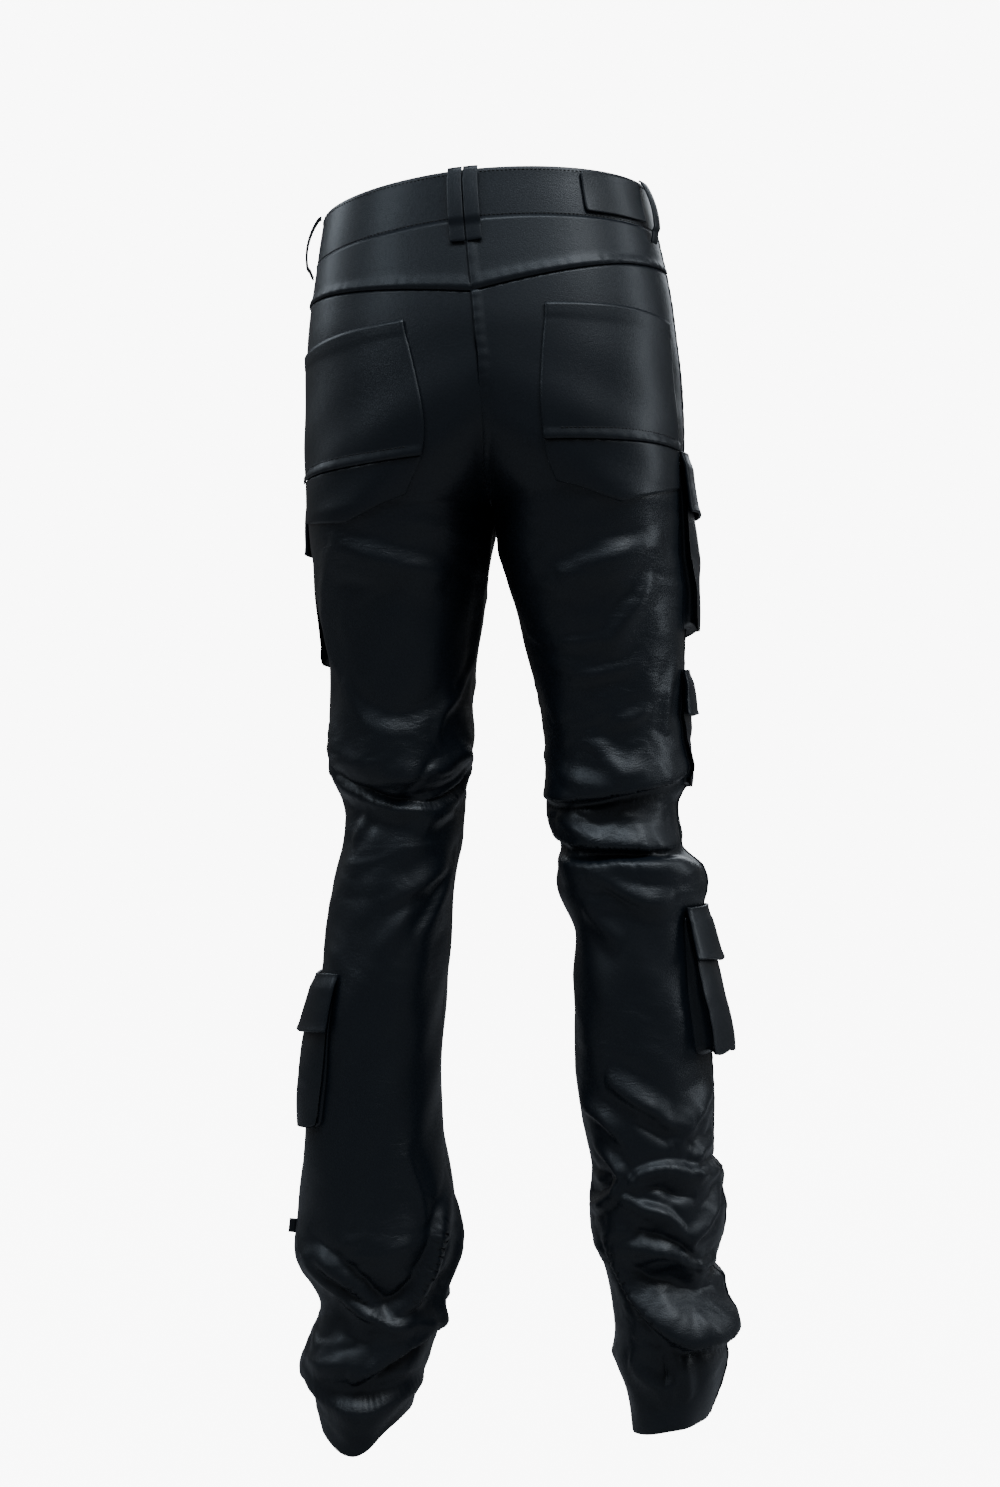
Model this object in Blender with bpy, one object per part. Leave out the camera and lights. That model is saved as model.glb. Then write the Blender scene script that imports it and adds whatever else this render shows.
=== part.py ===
"""Worn leather cargo trousers, each cut and sewn piece a closed faceted solid.

Metres, +Z up, front towards -Y, the wearer's left towards +X.
The origin is the centre of the waist opening, where the garment is held.

A point of the cloth is found from an angle and a drop.  The angle runs from the side
seam (0) round the back (+90 is centre back of the leg) to the inseam (180), and
negative round the front.  The drop is the distance down from the waist edge.
"""

import math

import bmesh
import bpy
import numpy as np

# ---------------------------------------------------------------- driving sizes
WALL = 0.0014            # leather of the panels
BAND_WALL = 0.0022       # folded leather of the waistband
SEAM_HALF = 0.00015      # each panel stops this far short of its seam line
OVERLAY_GAP = 0.0003     # between a panel and a piece sewn onto it
FOOT_GAP = 0.0009        # between a panel and the standing edge of a bag
BAND_DEPTH = 0.041       # drop of the waistband seam
YOKE_DEPTH = 0.078       # drop of the yoke seam at the side seam
YOKE_DIP = 0.0115        # extra drop of the yoke seam at centre back
RISE_START = 0.125       # drop where the seat seam starts to turn under
CROTCH = 0.252           # drop of the crotch point
HEM = 1.0                # drop of the hem
LEAN = 0.087             # the held garment leans: rise per metre towards the right
WAIST_RAISE_BACK = 0.012
WAIST_DROP_FRONT = 0.014

# section columns: drop, outer half width, inner half width, back depth, front depth
PELVIS = (
    (-0.03, 0.130, 0.0, 0.100, -0.103),
    (0.00, 0.134, 0.0, 0.105, -0.105),
    (0.04, 0.141, 0.0, 0.113, -0.108),
    (0.08, 0.148, 0.0, 0.121, -0.111),
    (0.12, 0.153, 0.0, 0.127, -0.112),
    (0.16, 0.156, 0.0, 0.129, -0.112),
    (0.20, 0.158, 0.0, 0.126, -0.110),
)
LEFT_LEG = (
    (0.252, 0.160, 0.0003, 0.112, -0.105),
    (0.30, 0.156, 0.008, 0.098, -0.101),
    (0.37, 0.145, 0.020, 0.083, -0.094),
    (0.44, 0.1435, 0.025, 0.070, -0.082),
    (0.466, 0.142, 0.027, 0.066, -0.079),
    (0.485, 0.1345, 0.030, 0.062, -0.076),
    (0.517, 0.1325, 0.0315, 0.063, -0.071),
    (0.55, 0.139, 0.0365, 0.066, -0.066),
    (0.63, 0.150, 0.0415, 0.076, -0.056),
    (0.705, 0.159, 0.046, 0.080, -0.050),
    (0.765, 0.1625, 0.0445, 0.084, -0.048),
    (0.82, 0.166, 0.035, 0.088, -0.048),
    (0.855, 0.169, 0.029, 0.092, -0.048),
    (0.905, 0.148, 0.043, 0.080, -0.040),
    (0.93, 0.157, 0.050, 0.084, -0.042),
    (0.955, 0.164, 0.057, 0.086, -0.044),
    (0.975, 0.153, 0.065, 0.080, -0.042),
    (0.99, 0.141, 0.070, 0.078, -0.041),
    (1.03, 0.124, 0.084, 0.074, -0.040),
)
RIGHT_LEG = (
    (0.252, 0.1566, 0.0003, 0.112, -0.105),
    (0.285, 0.157, 0.0035, 0.103, -0.102),
    (0.335, 0.1585, 0.016, 0.091, -0.097),
    (0.385, 0.1585, 0.0295, 0.080, -0.090),
    (0.42, 0.1585, 0.037, 0.073, -0.084),
    (0.46, 0.1575, 0.040, 0.068, -0.079),
    (0.497, 0.158, 0.0435, 0.063, -0.074),
    (0.51, 0.1535, 0.043, 0.063, -0.072),
    (0.535, 0.156, 0.054, 0.064, -0.068),
    (0.548, 0.158, 0.0545, 0.064, -0.066),
    (0.565, 0.174, 0.0505, 0.072, -0.070),
    (0.61, 0.171, 0.068, 0.072, -0.058),
    (0.65, 0.173, 0.068, 0.076, -0.054),
    (0.72, 0.181, 0.069, 0.080, -0.050),
    (0.80, 0.186, 0.0825, 0.084, -0.048),
    (0.86, 0.193, 0.084, 0.088, -0.048),
    (0.886, 0.1865, 0.094, 0.080, -0.042),
    (0.936, 0.203, 0.102, 0.088, -0.044),
    (0.961, 0.197, 0.1015, 0.082, -0.042),
    (0.986, 0.191, 0.111, 0.078, -0.040),
    (1.03, 0.175, 0.119, 0.074, -0.040),
)
# sway of the body's middle, and how far the centre seam stands aside from it: drop, offset
SWAY = ((0.0, 0.003), (0.25, -0.007), (0.40, -0.007), (1.05, -0.007))
SEAM_ASIDE = (
    (0.0, 0.003),
    (0.04, 0.0012),
    (0.088, -0.0021),
    (0.145, -0.0053),
    (0.20, -0.0055),
    (0.252, 0.0),
    (0.27, 0.0),
    (1.05, 0.0),
)
# hem level columns: side seam, back, inseam, front
LEFT_HEM = (0.989, 1.019, 0.995, 0.965)
RIGHT_HEM = (1.0115, 1.0125, 1.0185, 1.000)

# fold columns: start angle and drop, middle angle and drop, end angle and drop,
#               rise, width above, width below, sag   (angles in degrees, the rest mm)
LEFT_FOLDS = (
    (60, 274, 97, 296, 130, 308, 4, 9, 14, 0),
    (50, 385, 95, 437, 150, 395, 5, 11, 11, 1),
    (20, 445, 95, 500, 188, 458, 9, 17, 7, 5),
    (60, 905, 103, 916, 150, 880, 8, 14, 9, 4),
    (35, 846, 75, 884, 108, 908, 7, 11, 9, 2),
    (100, 908, 132, 884, 158, 832, 7, 10, 9, 1),
    (25, 932, 100, 940, 190, 922, 7, 8, 9, 2),
    (95, 573, 128, 560, 165, 544, 3, 12, 12, 0),
    (-170, 470, -100, 500, -30, 480, 5, 14, 14, 0),
    (-165, 860, -100, 890, -25, 868, 6, 13, 12, 2),
    (-165, 920, -95, 945, -30, 925, 5, 11, 11, 1),
)
RIGHT_FOLDS = (
    (98, 315, 70, 308, 40, 300, 4, 9, 13, 0),
    (170, 494, 100, 494, 14, 484, 8, 15, 7, 4),
    (165, 512, 100, 530, 12, 538, 5, 10, 9, 1),
    (178, 556, 100, 563, 5, 566, 8, 6, 17, 0),
    (150, 776, 112, 808, 152, 836, -6, 10, 10, 0),
    (5, 742, 45, 772, 84, 792, 5, 11, 11, 0),
    (110, 815, 75, 806, 30, 811, 5, 9, 9, 0),
    (115, 862, 70, 873, 15, 882, -6, 9, 9, 0),
    (138, 860, 85, 938, 10, 926, 8, 13, 8, 3),
    (-170, 490, -100, 512, -30, 492, 5, 13, 13, 0),
    (-170, 558, -95, 572, -20, 560, 5, 10, 15, 0),
    (-165, 830, -95, 850, -20, 835, 5, 13, 12, 2),
    (-165, 915, -95, 938, -25, 918, 6, 13, 11, 2),
)

# back pocket columns: angle, drop; the upper and lower pieces meet on a raised seam
POCKET_UPPER = {
    1: ((18, 0.1195), (69, 0.104), (85.5, 0.2150), (18, 0.2205)),
    -1: ((15, 0.1220), (68, 0.1025), (79, 0.2120), (15, 0.2230)),
}
POCKET_LOWER = {
    1: ((18, 0.2208), (85.5, 0.2153), (100, 0.244), (73, 0.261), (18, 0.2525)),
    -1: ((15, 0.2233), (79, 0.2123), (95.5, 0.245), (66, 0.265), (15, 0.2535)),
}

# cargo columns: back angle, front angle, mouth, foot, flap edge, standing at the mouth,
#                standing at the foot (drops in m, standing in m)
CARGO = (
    ("right_thigh", -1, 12, -72, 0.232, 0.369, 0.272, 0.004, 0.012),
    ("right_knee", -1, 12, -72, 0.410, 0.497, 0.437, 0.004, 0.0115),
    ("right_calf", -1, 36, -50, 0.604, 0.718, 0.640, 0.004, 0.019),
    ("left_thigh", 1, -12, -96, 0.232, 0.369, 0.274, 0.004, 0.014),
    ("left_calf", 1, 58, -30, 0.640, 0.752, 0.674, 0.004, 0.0125),
)
FLAP_LIFT = 0.0012       # clear space between a bag and its flap
FLAP_RISE = 0.009        # the flap is sewn down this far above the mouth
FLAP_SIDE = 0.003        # the flap is this much wider than the bag on each side

# belt loop columns: name, side, angle, width, top, foot, standing off in the middle
LOOPS = (
    ("loop_back_left", 1, 87.3, 0.0116, 0.0000, 0.0530, 0.0026),
    ("loop_back_right", -1, 87.3, 0.0116, 0.0000, 0.0530, 0.0026),
    ("loop_side_left", 1, 12.0, 0.011, 0.000, 0.050, 0.0100),
    ("loop_side_right", -1, 14.0, 0.011, 0.001, 0.054, 0.0088),
    ("loop_front_left", 1, -52.0, 0.011, 0.000, 0.052, 0.0030),
    ("loop_front_right", -1, -52.0, 0.011, 0.000, 0.052, 0.0030),
)
WAIST_PATCH = ((20, 0.0035), (50, 0.0035), (50, 0.0375), (20, 0.0375))
BUTTON_RADIUS = 0.0085
BUTTON_THICK = 0.0026
BUTTON_DROP = 0.0205
TAB_WIDTH = 0.011
TAB_REACH = 0.007
TAB_DROP = 0.836
TAB_ANGLE = 8.0

# lattice: angle of each column below the crotch, and drop of each row
BACK_COLUMNS = (0, 12, 36, 58, 82, 106, 131, 156, 180)
FRONT_COLUMNS = (0, 12, 30, 50, 72, 96, 124, 152, 180)
PANEL_ROWS = (0.100, 0.125, 0.150)
TURN_ANGLES = (107, 124, 140, 155, 169, 180)
LEG_ROWS = (
    0.264, 0.288, 0.322, 0.369, 0.405, 0.432, 0.451, 0.467, 0.482, 0.497, 0.510, 0.524,
    0.538, 0.550, 0.562, 0.578, 0.600, 0.638, 0.678, 0.718, 0.752, 0.782, 0.808, 0.834,
    0.857, 0.877, 0.896, 0.914, 0.931, 0.948, 0.965, 0.983, 1.0,
)


# ---------------------------------------------------------------- the worn surface
def smooth(columns, places, at):
    """A smooth curve through the values at the given places."""
    places = np.asarray(places, float)
    values = np.asarray(columns, float)
    width = np.diff(places)
    slope = np.diff(values) / width
    bend = np.empty_like(values)
    bend[0] = slope[0]
    bend[-1] = slope[-1]
    bend[1:-1] = (slope[:-1] * width[1:] + slope[1:] * width[:-1]) / (places[2:] - places[:-2])
    at = np.clip(at, places[0], places[-1])
    k = np.clip(np.searchsorted(places, at, side="right") - 1, 0, len(places) - 2)
    t = (at - places[k]) / width[k]
    start = (2 * t**3 - 3 * t**2 + 1) * values[k] + (t**3 - 2 * t**2 + t) * width[k] * bend[k]
    end = (3 * t**2 - 2 * t**3) * values[k + 1] + (t**3 - t**2) * width[k] * bend[k + 1]
    return start + end


def seam_aside(drop):
    table = np.array(SEAM_ASIDE)
    return smooth(table[:, 1], table[:, 0], drop)


def seam_sway(drop):
    table = np.array(SWAY)
    return smooth(table[:, 1], table[:, 0], drop) + seam_aside(drop)


def seam_turn(drop):
    """Cosine of the angle the seat seam has turned under the body, 0 to 1."""
    return np.clip((drop - RISE_START) / (CROTCH - RISE_START), 0.0, 1.0) ** 1.6


def level(side, angle, drop):
    """True drop of a cut line: waist edge, yoke seam and hem are not level."""
    sine = np.sin(angle)
    degrees = np.degrees(angle)
    waist = np.where(sine > 0, -WAIST_RAISE_BACK, WAIST_DROP_FRONT) * sine**2
    dip = -0.005 + (YOKE_DIP + 0.005) * np.clip((degrees - 35) / 55, 0, 1) ** 1.5
    upper = np.clip((drop - BAND_DEPTH) / (YOKE_DEPTH - BAND_DEPTH), 0, 1)
    lower = np.clip((drop - YOKE_DEPTH) / (0.17 - YOKE_DEPTH), 0, 1)
    shift = np.where(drop < YOKE_DEPTH, waist * (1 - upper) + dip * upper, dip * (1 - lower))
    seam, back, inseam, front = LEFT_HEM if side > 0 else RIGHT_HEM
    middle = (seam + inseam) / 2
    round_hem = middle + (seam - inseam) / 2 * np.cos(angle)
    round_hem = round_hem + np.where(sine > 0, back - middle, front - middle) * sine**2
    share = np.clip((drop - 0.90) / 0.10, 0, 1)
    share = share * share * (3 - 2 * share)
    return drop + shift + (round_hem - HEM) * share


def body(side, angle, drop):
    """Point of the unfolded surface."""
    true = level(side, angle, drop)
    table = np.array(PELVIS + (LEFT_LEG if side > 0 else RIGHT_LEG))
    outer = smooth(table[:, 1], table[:, 0], true) - side * seam_aside(true)
    inner = smooth(table[:, 2], table[:, 0], true)
    back = smooth(table[:, 3], table[:, 0], true)
    front = smooth(table[:, 4], table[:, 0], true)
    turn = seam_turn(true)
    fork = 0.5 * (LEFT_LEG if side > 0 else RIGHT_LEG)[0][1]
    centre = np.where(true < CROTCH, fork * turn, (outer + inner) / 2)
    inward = np.where(true < CROTCH, fork, (outer - inner) / 2)
    cosine = np.cos(angle)
    reach = np.where(cosine > 0, outer - centre, inward)
    end = np.maximum(np.arccos(-turn), 1e-6)
    fuller = 0.035 * np.sin(2 * angle) ** 2 * (1 - np.clip(np.abs(angle) / end, 0, 1) ** 6)
    x = centre + reach * cosine * (1 + fuller)
    y = (back + front) / 2 + (back - front) / 2 * np.sin(angle) * (1 + fuller)
    wide = seam_sway(true) + side * x
    return np.stack([wide, y, -true - LEAN * wide], -1)


def fold_height(side, angle, drop):
    """Rise and sag of the folds: a bell across each three-point curve, tapered at its ends."""
    rise = np.zeros_like(drop)
    sag = np.zeros_like(drop)
    across = 0.0014
    for row in LEFT_FOLDS if side > 0 else RIGHT_FOLDS:
        t = np.linspace(0, 1, 25)
        a0, d0, a1, d1, a2, d2, high, above, below, low = row
        first = 2 * (t - 0.5) * (t - 1)
        second = 4 * t * (1 - t)
        third = 2 * t * (t - 0.5)
        line_a = a0 * first + a1 * second + a2 * third
        line_d = (d0 * first + d1 * second + d2 * third) * 0.001
        for turn in (0.0, 360.0, -360.0):
            da = (np.degrees(angle)[..., None] + turn - line_a) * across
            dd = drop[..., None] - line_d
            near = np.argmin(da**2 + dd**2, axis=-1)
            dist = np.sqrt(np.min(da**2 + dd**2, axis=-1)) * 1000
            under = np.take_along_axis(dd, near[..., None], axis=-1)[..., 0] > 0
            taper = np.clip(4 * t * (1 - t) * 1.6, 0, 1)[near]
            bell = taper * np.exp(-((dist / np.where(under, below, above)) ** 2))
            rise = rise + 0.001 * high * bell
            sag = sag + 0.001 * low * bell
    return rise, sag


def lattice_drops():
    turned = np.cos(np.radians(180 - np.array(TURN_ANGLES)))
    turning = RISE_START + (CROTCH - RISE_START) * turned ** (1 / 1.6)
    rows = [0.0, BAND_DEPTH, (BAND_DEPTH + YOKE_DEPTH) / 2, YOKE_DEPTH]
    return np.array(rows + list(PANEL_ROWS) + list(turning) + list(LEG_ROWS))


class Lattice:
    """The facets of one side: columns -8 to 8 (front to back), rows from waist to hem."""

    def __init__(self, side):
        self.side = side
        self.drops = lattice_drops()
        front = -np.array(FRONT_COLUMNS[:0:-1]) / 180.0
        self.shares = np.concatenate([front, np.array(BACK_COLUMNS) / 180.0])
        self.last = len(BACK_COLUMNS) - 1
        self.ends = np.arccos(-seam_turn(self.drops))
        angle = self.shares[:, None] * self.ends[None]
        drop = np.broadcast_to(self.drops[None], angle.shape)
        plain = body(side, angle, drop)
        normal = self.facing(plain)
        rise, sag = fold_height(side, angle, drop)
        self.points = plain + normal * rise[..., None]
        self.points[..., 2] -= sag
        self.normals = self.facing(self.points)

    def facing(self, points):
        over = np.gradient(points, axis=0)
        down = np.gradient(points, axis=1)
        self_closed = self.drops >= CROTCH - 1e-9
        wrap = (points[1] - points[-2]) / 2
        over[0, self_closed] = wrap[self_closed]
        over[-1, self_closed] = wrap[self_closed]
        normal = np.cross(over, down) * self.side
        return -normal / np.linalg.norm(normal, axis=-1, keepdims=True)

    def place(self, degrees, drop):
        """Lattice column and row of an angle and a drop."""
        row = np.interp(drop, self.drops, np.arange(len(self.drops)))
        end = np.interp(drop, self.drops, self.ends)
        column = np.interp(math.radians(degrees) / end, self.shares, np.arange(len(self.shares)))
        return float(column), float(row)

    def at(self, column, row, height):
        """Point on the facets, moved out by a height."""
        i = min(int(column), len(self.shares) - 2)
        j = min(int(row), len(self.drops) - 2)
        u = column - i
        v = row - j
        if u >= v:
            weights = ((i, j, 1 - u), (i + 1, j, u - v), (i + 1, j + 1, v))
        else:
            weights = ((i, j, 1 - v), (i, j + 1, v - u), (i + 1, j + 1, u))
        point = sum(self.points[a, b] * w for a, b, w in weights)
        normal = sum(self.normals[a, b] * w for a, b, w in weights)
        return point + normal / np.linalg.norm(normal) * height

    def step(self, column, row, distance, down):
        """Lattice length of a distance measured along the facets."""
        near = self.at(column, row, 0.0)
        if down:
            far = self.at(column, row + 0.02, 0.0)
        else:
            far = self.at(column + 0.02, row, 0.0)
        return distance * 0.02 / np.linalg.norm(far - near)


# ---------------------------------------------------------------- solids
def add_solid(name, outside, inside, faces):
    """Close an open surface: outer skin, inner skin and a rim along its free edges."""
    count = len(outside)
    mesh = bpy.data.meshes.new(name)
    sides = {}
    for face in faces:
        for a, b in zip(face, face[1:] + face[:1]):
            key = (min(a, b), max(a, b))
            sides.setdefault(key, []).append((a, b))
    closed = [tuple(face) for face in faces]
    closed += [tuple(count + k for k in reversed(face)) for face in faces]
    for uses in sides.values():
        if len(uses) == 1:
            a, b = uses[0]
            closed.append((b, a, count + a))
            closed.append((b, count + a, count + b))
    points = [tuple(p) for p in outside] + [tuple(p) for p in inside]
    mesh.from_pydata(points, [], closed)
    work = bmesh.new()
    work.from_mesh(mesh)
    bmesh.ops.recalc_face_normals(work, faces=work.faces)
    if work.calc_volume(signed=True) < 0:
        bmesh.ops.reverse_faces(work, faces=work.faces)
    work.to_mesh(mesh)
    work.free()
    thing = bpy.data.objects.new(name, mesh)
    bpy.context.scene.collection.objects.link(thing)
    return thing


def paint(thing, colour, roughness, metallic=0.0):
    material = bpy.data.materials.new(thing.name + "_material")
    material.use_nodes = True
    shader = material.node_tree.nodes["Principled BSDF"]
    shader.inputs["Base Color"].default_value = (*colour, 1.0)
    shader.inputs["Roughness"].default_value = roughness
    shader.inputs["Metallic"].default_value = metallic
    thing.data.materials.append(material)


def grid_faces(columns, rows):
    """Triangles of a grid, split along the same diagonal as the lattice."""
    faces = []
    for i in range(columns - 1):
        for j in range(rows - 1):
            a = i * rows + j
            b = (i + 1) * rows + j
            faces.append([a, b, b + 1])
            faces.append([a, b + 1, a + 1])
    return faces


def pull_back(points, axis, end):
    """Move one edge of a grid of points inwards by half the seam gap."""
    if axis == 0:
        edge, next_in = (0, 1) if end == 0 else (-1, -2)
        step = points[next_in] - points[edge]
        size = np.linalg.norm(step, axis=-1, keepdims=True)
        points[edge] += step / size * SEAM_HALF
        return
    edge, next_in = (0, 1) if end == 0 else (-1, -2)
    step = points[:, next_in] - points[:, edge]
    size = np.linalg.norm(step, axis=-1, keepdims=True)
    points[:, edge] += step / size * SEAM_HALF


def keep_aside(points, side, drops):
    """Keep the seat seam edges of a panel on their own side of the centre."""
    limit = seam_sway(drops)[None] * side + 0.0001
    above = drops[None] < CROTCH - 1e-9
    wide = points[..., 0] * side
    points[..., 0] = np.where(above & (wide < limit), limit, wide) * side


def panel(name, lattice, first, last, top, bottom):
    """A cut panel between two columns and two rows of the lattice."""
    outside = lattice.points[first:last + 1, top:bottom + 1].copy()
    normals = lattice.normals[first:last + 1, top:bottom + 1]
    drops = lattice.drops[top:bottom + 1]
    for end in (0, 1):
        pull_back(outside, 0, end)
    if top > 0:
        pull_back(outside, 1, 0)
    if bottom < len(lattice.drops) - 1:
        pull_back(outside, 1, 1)
    inside = outside - normals * WALL
    keep_aside(outside, lattice.side, drops)
    keep_aside(inside, lattice.side, drops)
    faces = grid_faces(outside.shape[0], outside.shape[1])
    return add_solid(name, outside.reshape(-1, 3), inside.reshape(-1, 3), faces)


def waistband(left, right):
    """One strip from centre front round the back to centre front."""
    outside = np.concatenate([left.points[:, :2], right.points[::-1, :2][1:]])
    normals = np.concatenate([left.normals[:, :2], right.normals[::-1, :2][1:]])
    middle = left.last * 2
    normals[middle] = normals[middle] + right.normals[-1, :2]
    normals[middle] /= np.linalg.norm(normals[middle], axis=-1, keepdims=True)
    outside = outside.copy()
    pull_back(outside, 0, 0)
    pull_back(outside, 0, 1)
    pull_back(outside, 1, 1)
    inside = outside - normals * BAND_WALL
    drops = left.drops[:2]
    for skin in (outside, inside):
        keep_aside(skin[:3], 1, drops)
        keep_aside(skin[-3:], -1, drops)
    faces = grid_faces(outside.shape[0], 2)
    return add_solid("waistband", outside.reshape(-1, 3), inside.reshape(-1, 3), faces)


def overlay(name, lattice, outline, gap, wall):
    """A flat-lying piece: the lattice facets inside a convex outline, moved out."""
    corners = [lattice.place(angle, drop) for angle, drop in outline]
    low_c = int(min(c for c, r in corners))
    high_c = math.ceil(max(c for c, r in corners))
    low_r = int(min(r for c, r in corners))
    high_r = math.ceil(max(r for c, r in corners))
    work = bmesh.new()
    grid = {}
    for i in range(low_c, high_c + 1):
        for j in range(low_r, high_r + 1):
            grid[i, j] = work.verts.new((i, j, 0))
    for i in range(low_c, high_c):
        for j in range(low_r, high_r):
            work.faces.new((grid[i, j], grid[i + 1, j], grid[i + 1, j + 1]))
            work.faces.new((grid[i, j], grid[i + 1, j + 1], grid[i, j + 1]))
    middle = (sum(c for c, r in corners) / len(corners), sum(r for c, r in corners) / len(corners))
    for (c0, r0), (c1, r1) in zip(corners, corners[1:] + corners[:1]):
        across = (r1 - r0, c0 - c1, 0.0)
        inward = across[0] * (middle[0] - c0) + across[1] * (middle[1] - r0)
        if inward > 0:
            across = (-across[0], -across[1], 0.0)
        bmesh.ops.bisect_plane(
            work,
            geom=list(work.verts) + list(work.edges) + list(work.faces),
            dist=1e-5,
            plane_co=(c0, r0, 0.0),
            plane_no=across,
            clear_outer=True,
        )
    bmesh.ops.remove_doubles(work, verts=work.verts, dist=1e-4)
    bmesh.ops.triangulate(work, faces=work.faces)
    work.verts.index_update()
    places = [(v.co.x, v.co.y) for v in work.verts]
    faces = [[v.index for v in face.verts] for face in work.faces]
    work.free()
    outside = [lattice.at(c, r, gap + wall) for c, r in places]
    inside = [lattice.at(c, r, gap) for c, r in places]
    return add_solid(name, outside, inside, faces)


def stops(start, end, margin):
    """Both ends of a run and every lattice line between them."""
    between = [k for k in range(math.ceil(start + margin), int(end - margin) + 1)]
    return [start] + [float(k) for k in between] + [end]


def bag(name, lattice, back, front, mouth, foot, stand_mouth, stand_foot):
    """A bellows bag: a standing face with two side walls and a bottom wall, open above."""
    r0 = lattice.place(front, mouth)[1]
    c0 = float(round(lattice.place(front, foot)[0]))
    c1 = float(round(lattice.place(back, foot)[0]))
    r1 = float(round(lattice.place(back, foot)[1]))
    columns = stops(c0, c1, 0.25)
    rows = stops(r0, r1, 0.25)
    skins = []
    for inset in (0.0, WALL):
        side_in = lattice.step(c0, r0, inset, False)
        down_in = lattice.step(c0, r1 - 0.1, inset, True)
        run_c = [c0 + side_in] + columns[1:-1] + [c1 - side_in]
        run_r = rows[:-1] + [r1 - down_in]
        skin = []
        for c in run_c:
            for r in run_r:
                share = (r - r0) / (r1 - r0)
                stand = stand_mouth + (stand_foot - stand_mouth) * math.sin(share * math.pi / 2)
                skin.append(lattice.at(c, r, stand - inset))
        skin += [lattice.at(run_c[0], r, FOOT_GAP) for r in run_r]
        skin += [lattice.at(run_c[-1], r, FOOT_GAP) for r in run_r]
        skin += [lattice.at(c, run_r[-1], FOOT_GAP) for c in run_c[1:-1]]
        skins.append(skin)
    wide = len(columns)
    tall = len(rows)
    faces = grid_faces(wide, tall)
    low = wide * tall
    high = low + tall
    bottom = high + tall
    for j in range(tall - 1):
        faces.append([low + j, j, j + 1])
        faces.append([low + j, j + 1, low + j + 1])
        edge = (wide - 1) * tall + j
        faces.append([edge, high + j, high + j + 1])
        faces.append([edge, high + j + 1, edge + 1])
    feet = [low + tall - 1] + [bottom + k for k in range(wide - 2)] + [high + tall - 1]
    for i in range(wide - 1):
        a = i * tall + tall - 1
        b = a + tall
        faces.append([a, b, feet[i + 1]])
        faces.append([a, feet[i + 1], feet[i]])
    return add_solid(name, skins[0], skins[1], faces)


def flap(name, lattice, back, front, mouth, foot, edge, stand_mouth, stand_foot):
    """The flap over a bag, sewn to the leg above the mouth."""
    r0 = lattice.place(front, mouth)[1]
    c0 = float(round(lattice.place(front, foot)[0]))
    c1 = float(round(lattice.place(back, foot)[0]))
    r1 = float(round(lattice.place(back, foot)[1]))
    top = lattice.place(back, mouth - FLAP_RISE)[1]
    end = lattice.place(back, edge)[1]
    extra = lattice.step(c0, r0, FLAP_SIDE, False)
    columns = [c0 - extra] + stops(c0, c1, 0.25) + [c1 + extra]
    near = lattice.place(back, mouth - 0.002)[1]
    rows = [top, near] + [r for r in stops(r0, r1, 0.25) if r < end - 0.15] + [end]
    outside = []
    inside = []
    for c in columns:
        for r in rows:
            share = max(0.0, (r - r0) / (r1 - r0))
            stand = stand_mouth + (stand_foot - stand_mouth) * math.sin(share * math.pi / 2)
            stand += FLAP_LIFT
            if r == top:
                stand = OVERLAY_GAP + 0.0009
            outside.append(lattice.at(c, r, stand + WALL))
            inside.append(lattice.at(c, r, stand))
    return add_solid(name, outside, inside, grid_faces(len(columns), len(rows)))


def belt_loop(name, lattice, degrees, width, top, foot, stand):
    """A strip sewn down at both ends and standing off between them."""
    c, r0 = lattice.place(degrees, top)
    r1 = lattice.place(degrees, foot)[1]
    half = lattice.step(c, r0 + 0.1, width / 2, False)
    columns = [c - half, c + half]
    columns = columns[:1] + [k for k in range(math.ceil(c - half), int(c + half) + 1)] + columns[1:]
    rows = sorted(set([r0 + (r1 - r0) * k / 6 for k in range(7)] + [1.0, 2.0]))
    outside = []
    inside = []
    for column in columns:
        for row in rows:
            share = (row - r0) / (r1 - r0)
            lift = stand * math.sin(math.pi * min(1.0, max(0.0, share))) ** 0.7
            base = OVERLAY_GAP + 0.0002 + lift
            outside.append(lattice.at(column, row, base + WALL))
            inside.append(lattice.at(column, row, base))
    return add_solid(name, outside, inside, grid_faces(len(columns), len(rows)))


def side_tab(lattice):
    """A small folded tab caught in the side seam, standing out."""
    c, r = lattice.place(TAB_ANGLE, TAB_DROP)
    half = lattice.step(c, r, TAB_WIDTH / 2, True)
    thin = lattice.step(c, r, WALL, False)
    rows = [r - half, r + half]
    near = 0.0008
    outside = [lattice.at(c, k, near + h) for h in (0.0, TAB_REACH) for k in rows]
    inside = [lattice.at(c - thin, k, near + h) for h in (0.0, TAB_REACH) for k in rows]
    return add_solid("side_tab_left", outside, inside, grid_faces(2, 2))


def waist_button(lattice):
    """A plain disc on the front of the band, just beside its opening."""
    row = lattice.place(-80, BUTTON_DROP)[1]
    column = 0.0 + lattice.step(0.0, row, 0.0125, False)
    centre = lattice.at(column, row, 0.0)
    out = lattice.at(column, row, 1.0) - centre
    over = np.cross(out, (0.0, 0.0, 1.0))
    over /= np.linalg.norm(over)
    up = np.cross(over, out)
    turns = np.radians(np.arange(0, 360, 22.5))
    ring = np.outer(np.cos(turns), over) + np.outer(np.sin(turns), up)
    base = centre + out * 0.0012
    back = [base + d * BUTTON_RADIUS for d in ring] + [base]
    face = [base + out * BUTTON_THICK + d * BUTTON_RADIUS for d in ring]
    face += [base + out * BUTTON_THICK]
    count = len(ring)
    faces = [[count, k, (k + 1) % count] for k in range(count)]
    return add_solid("waist_button", face, back, faces)


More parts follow.
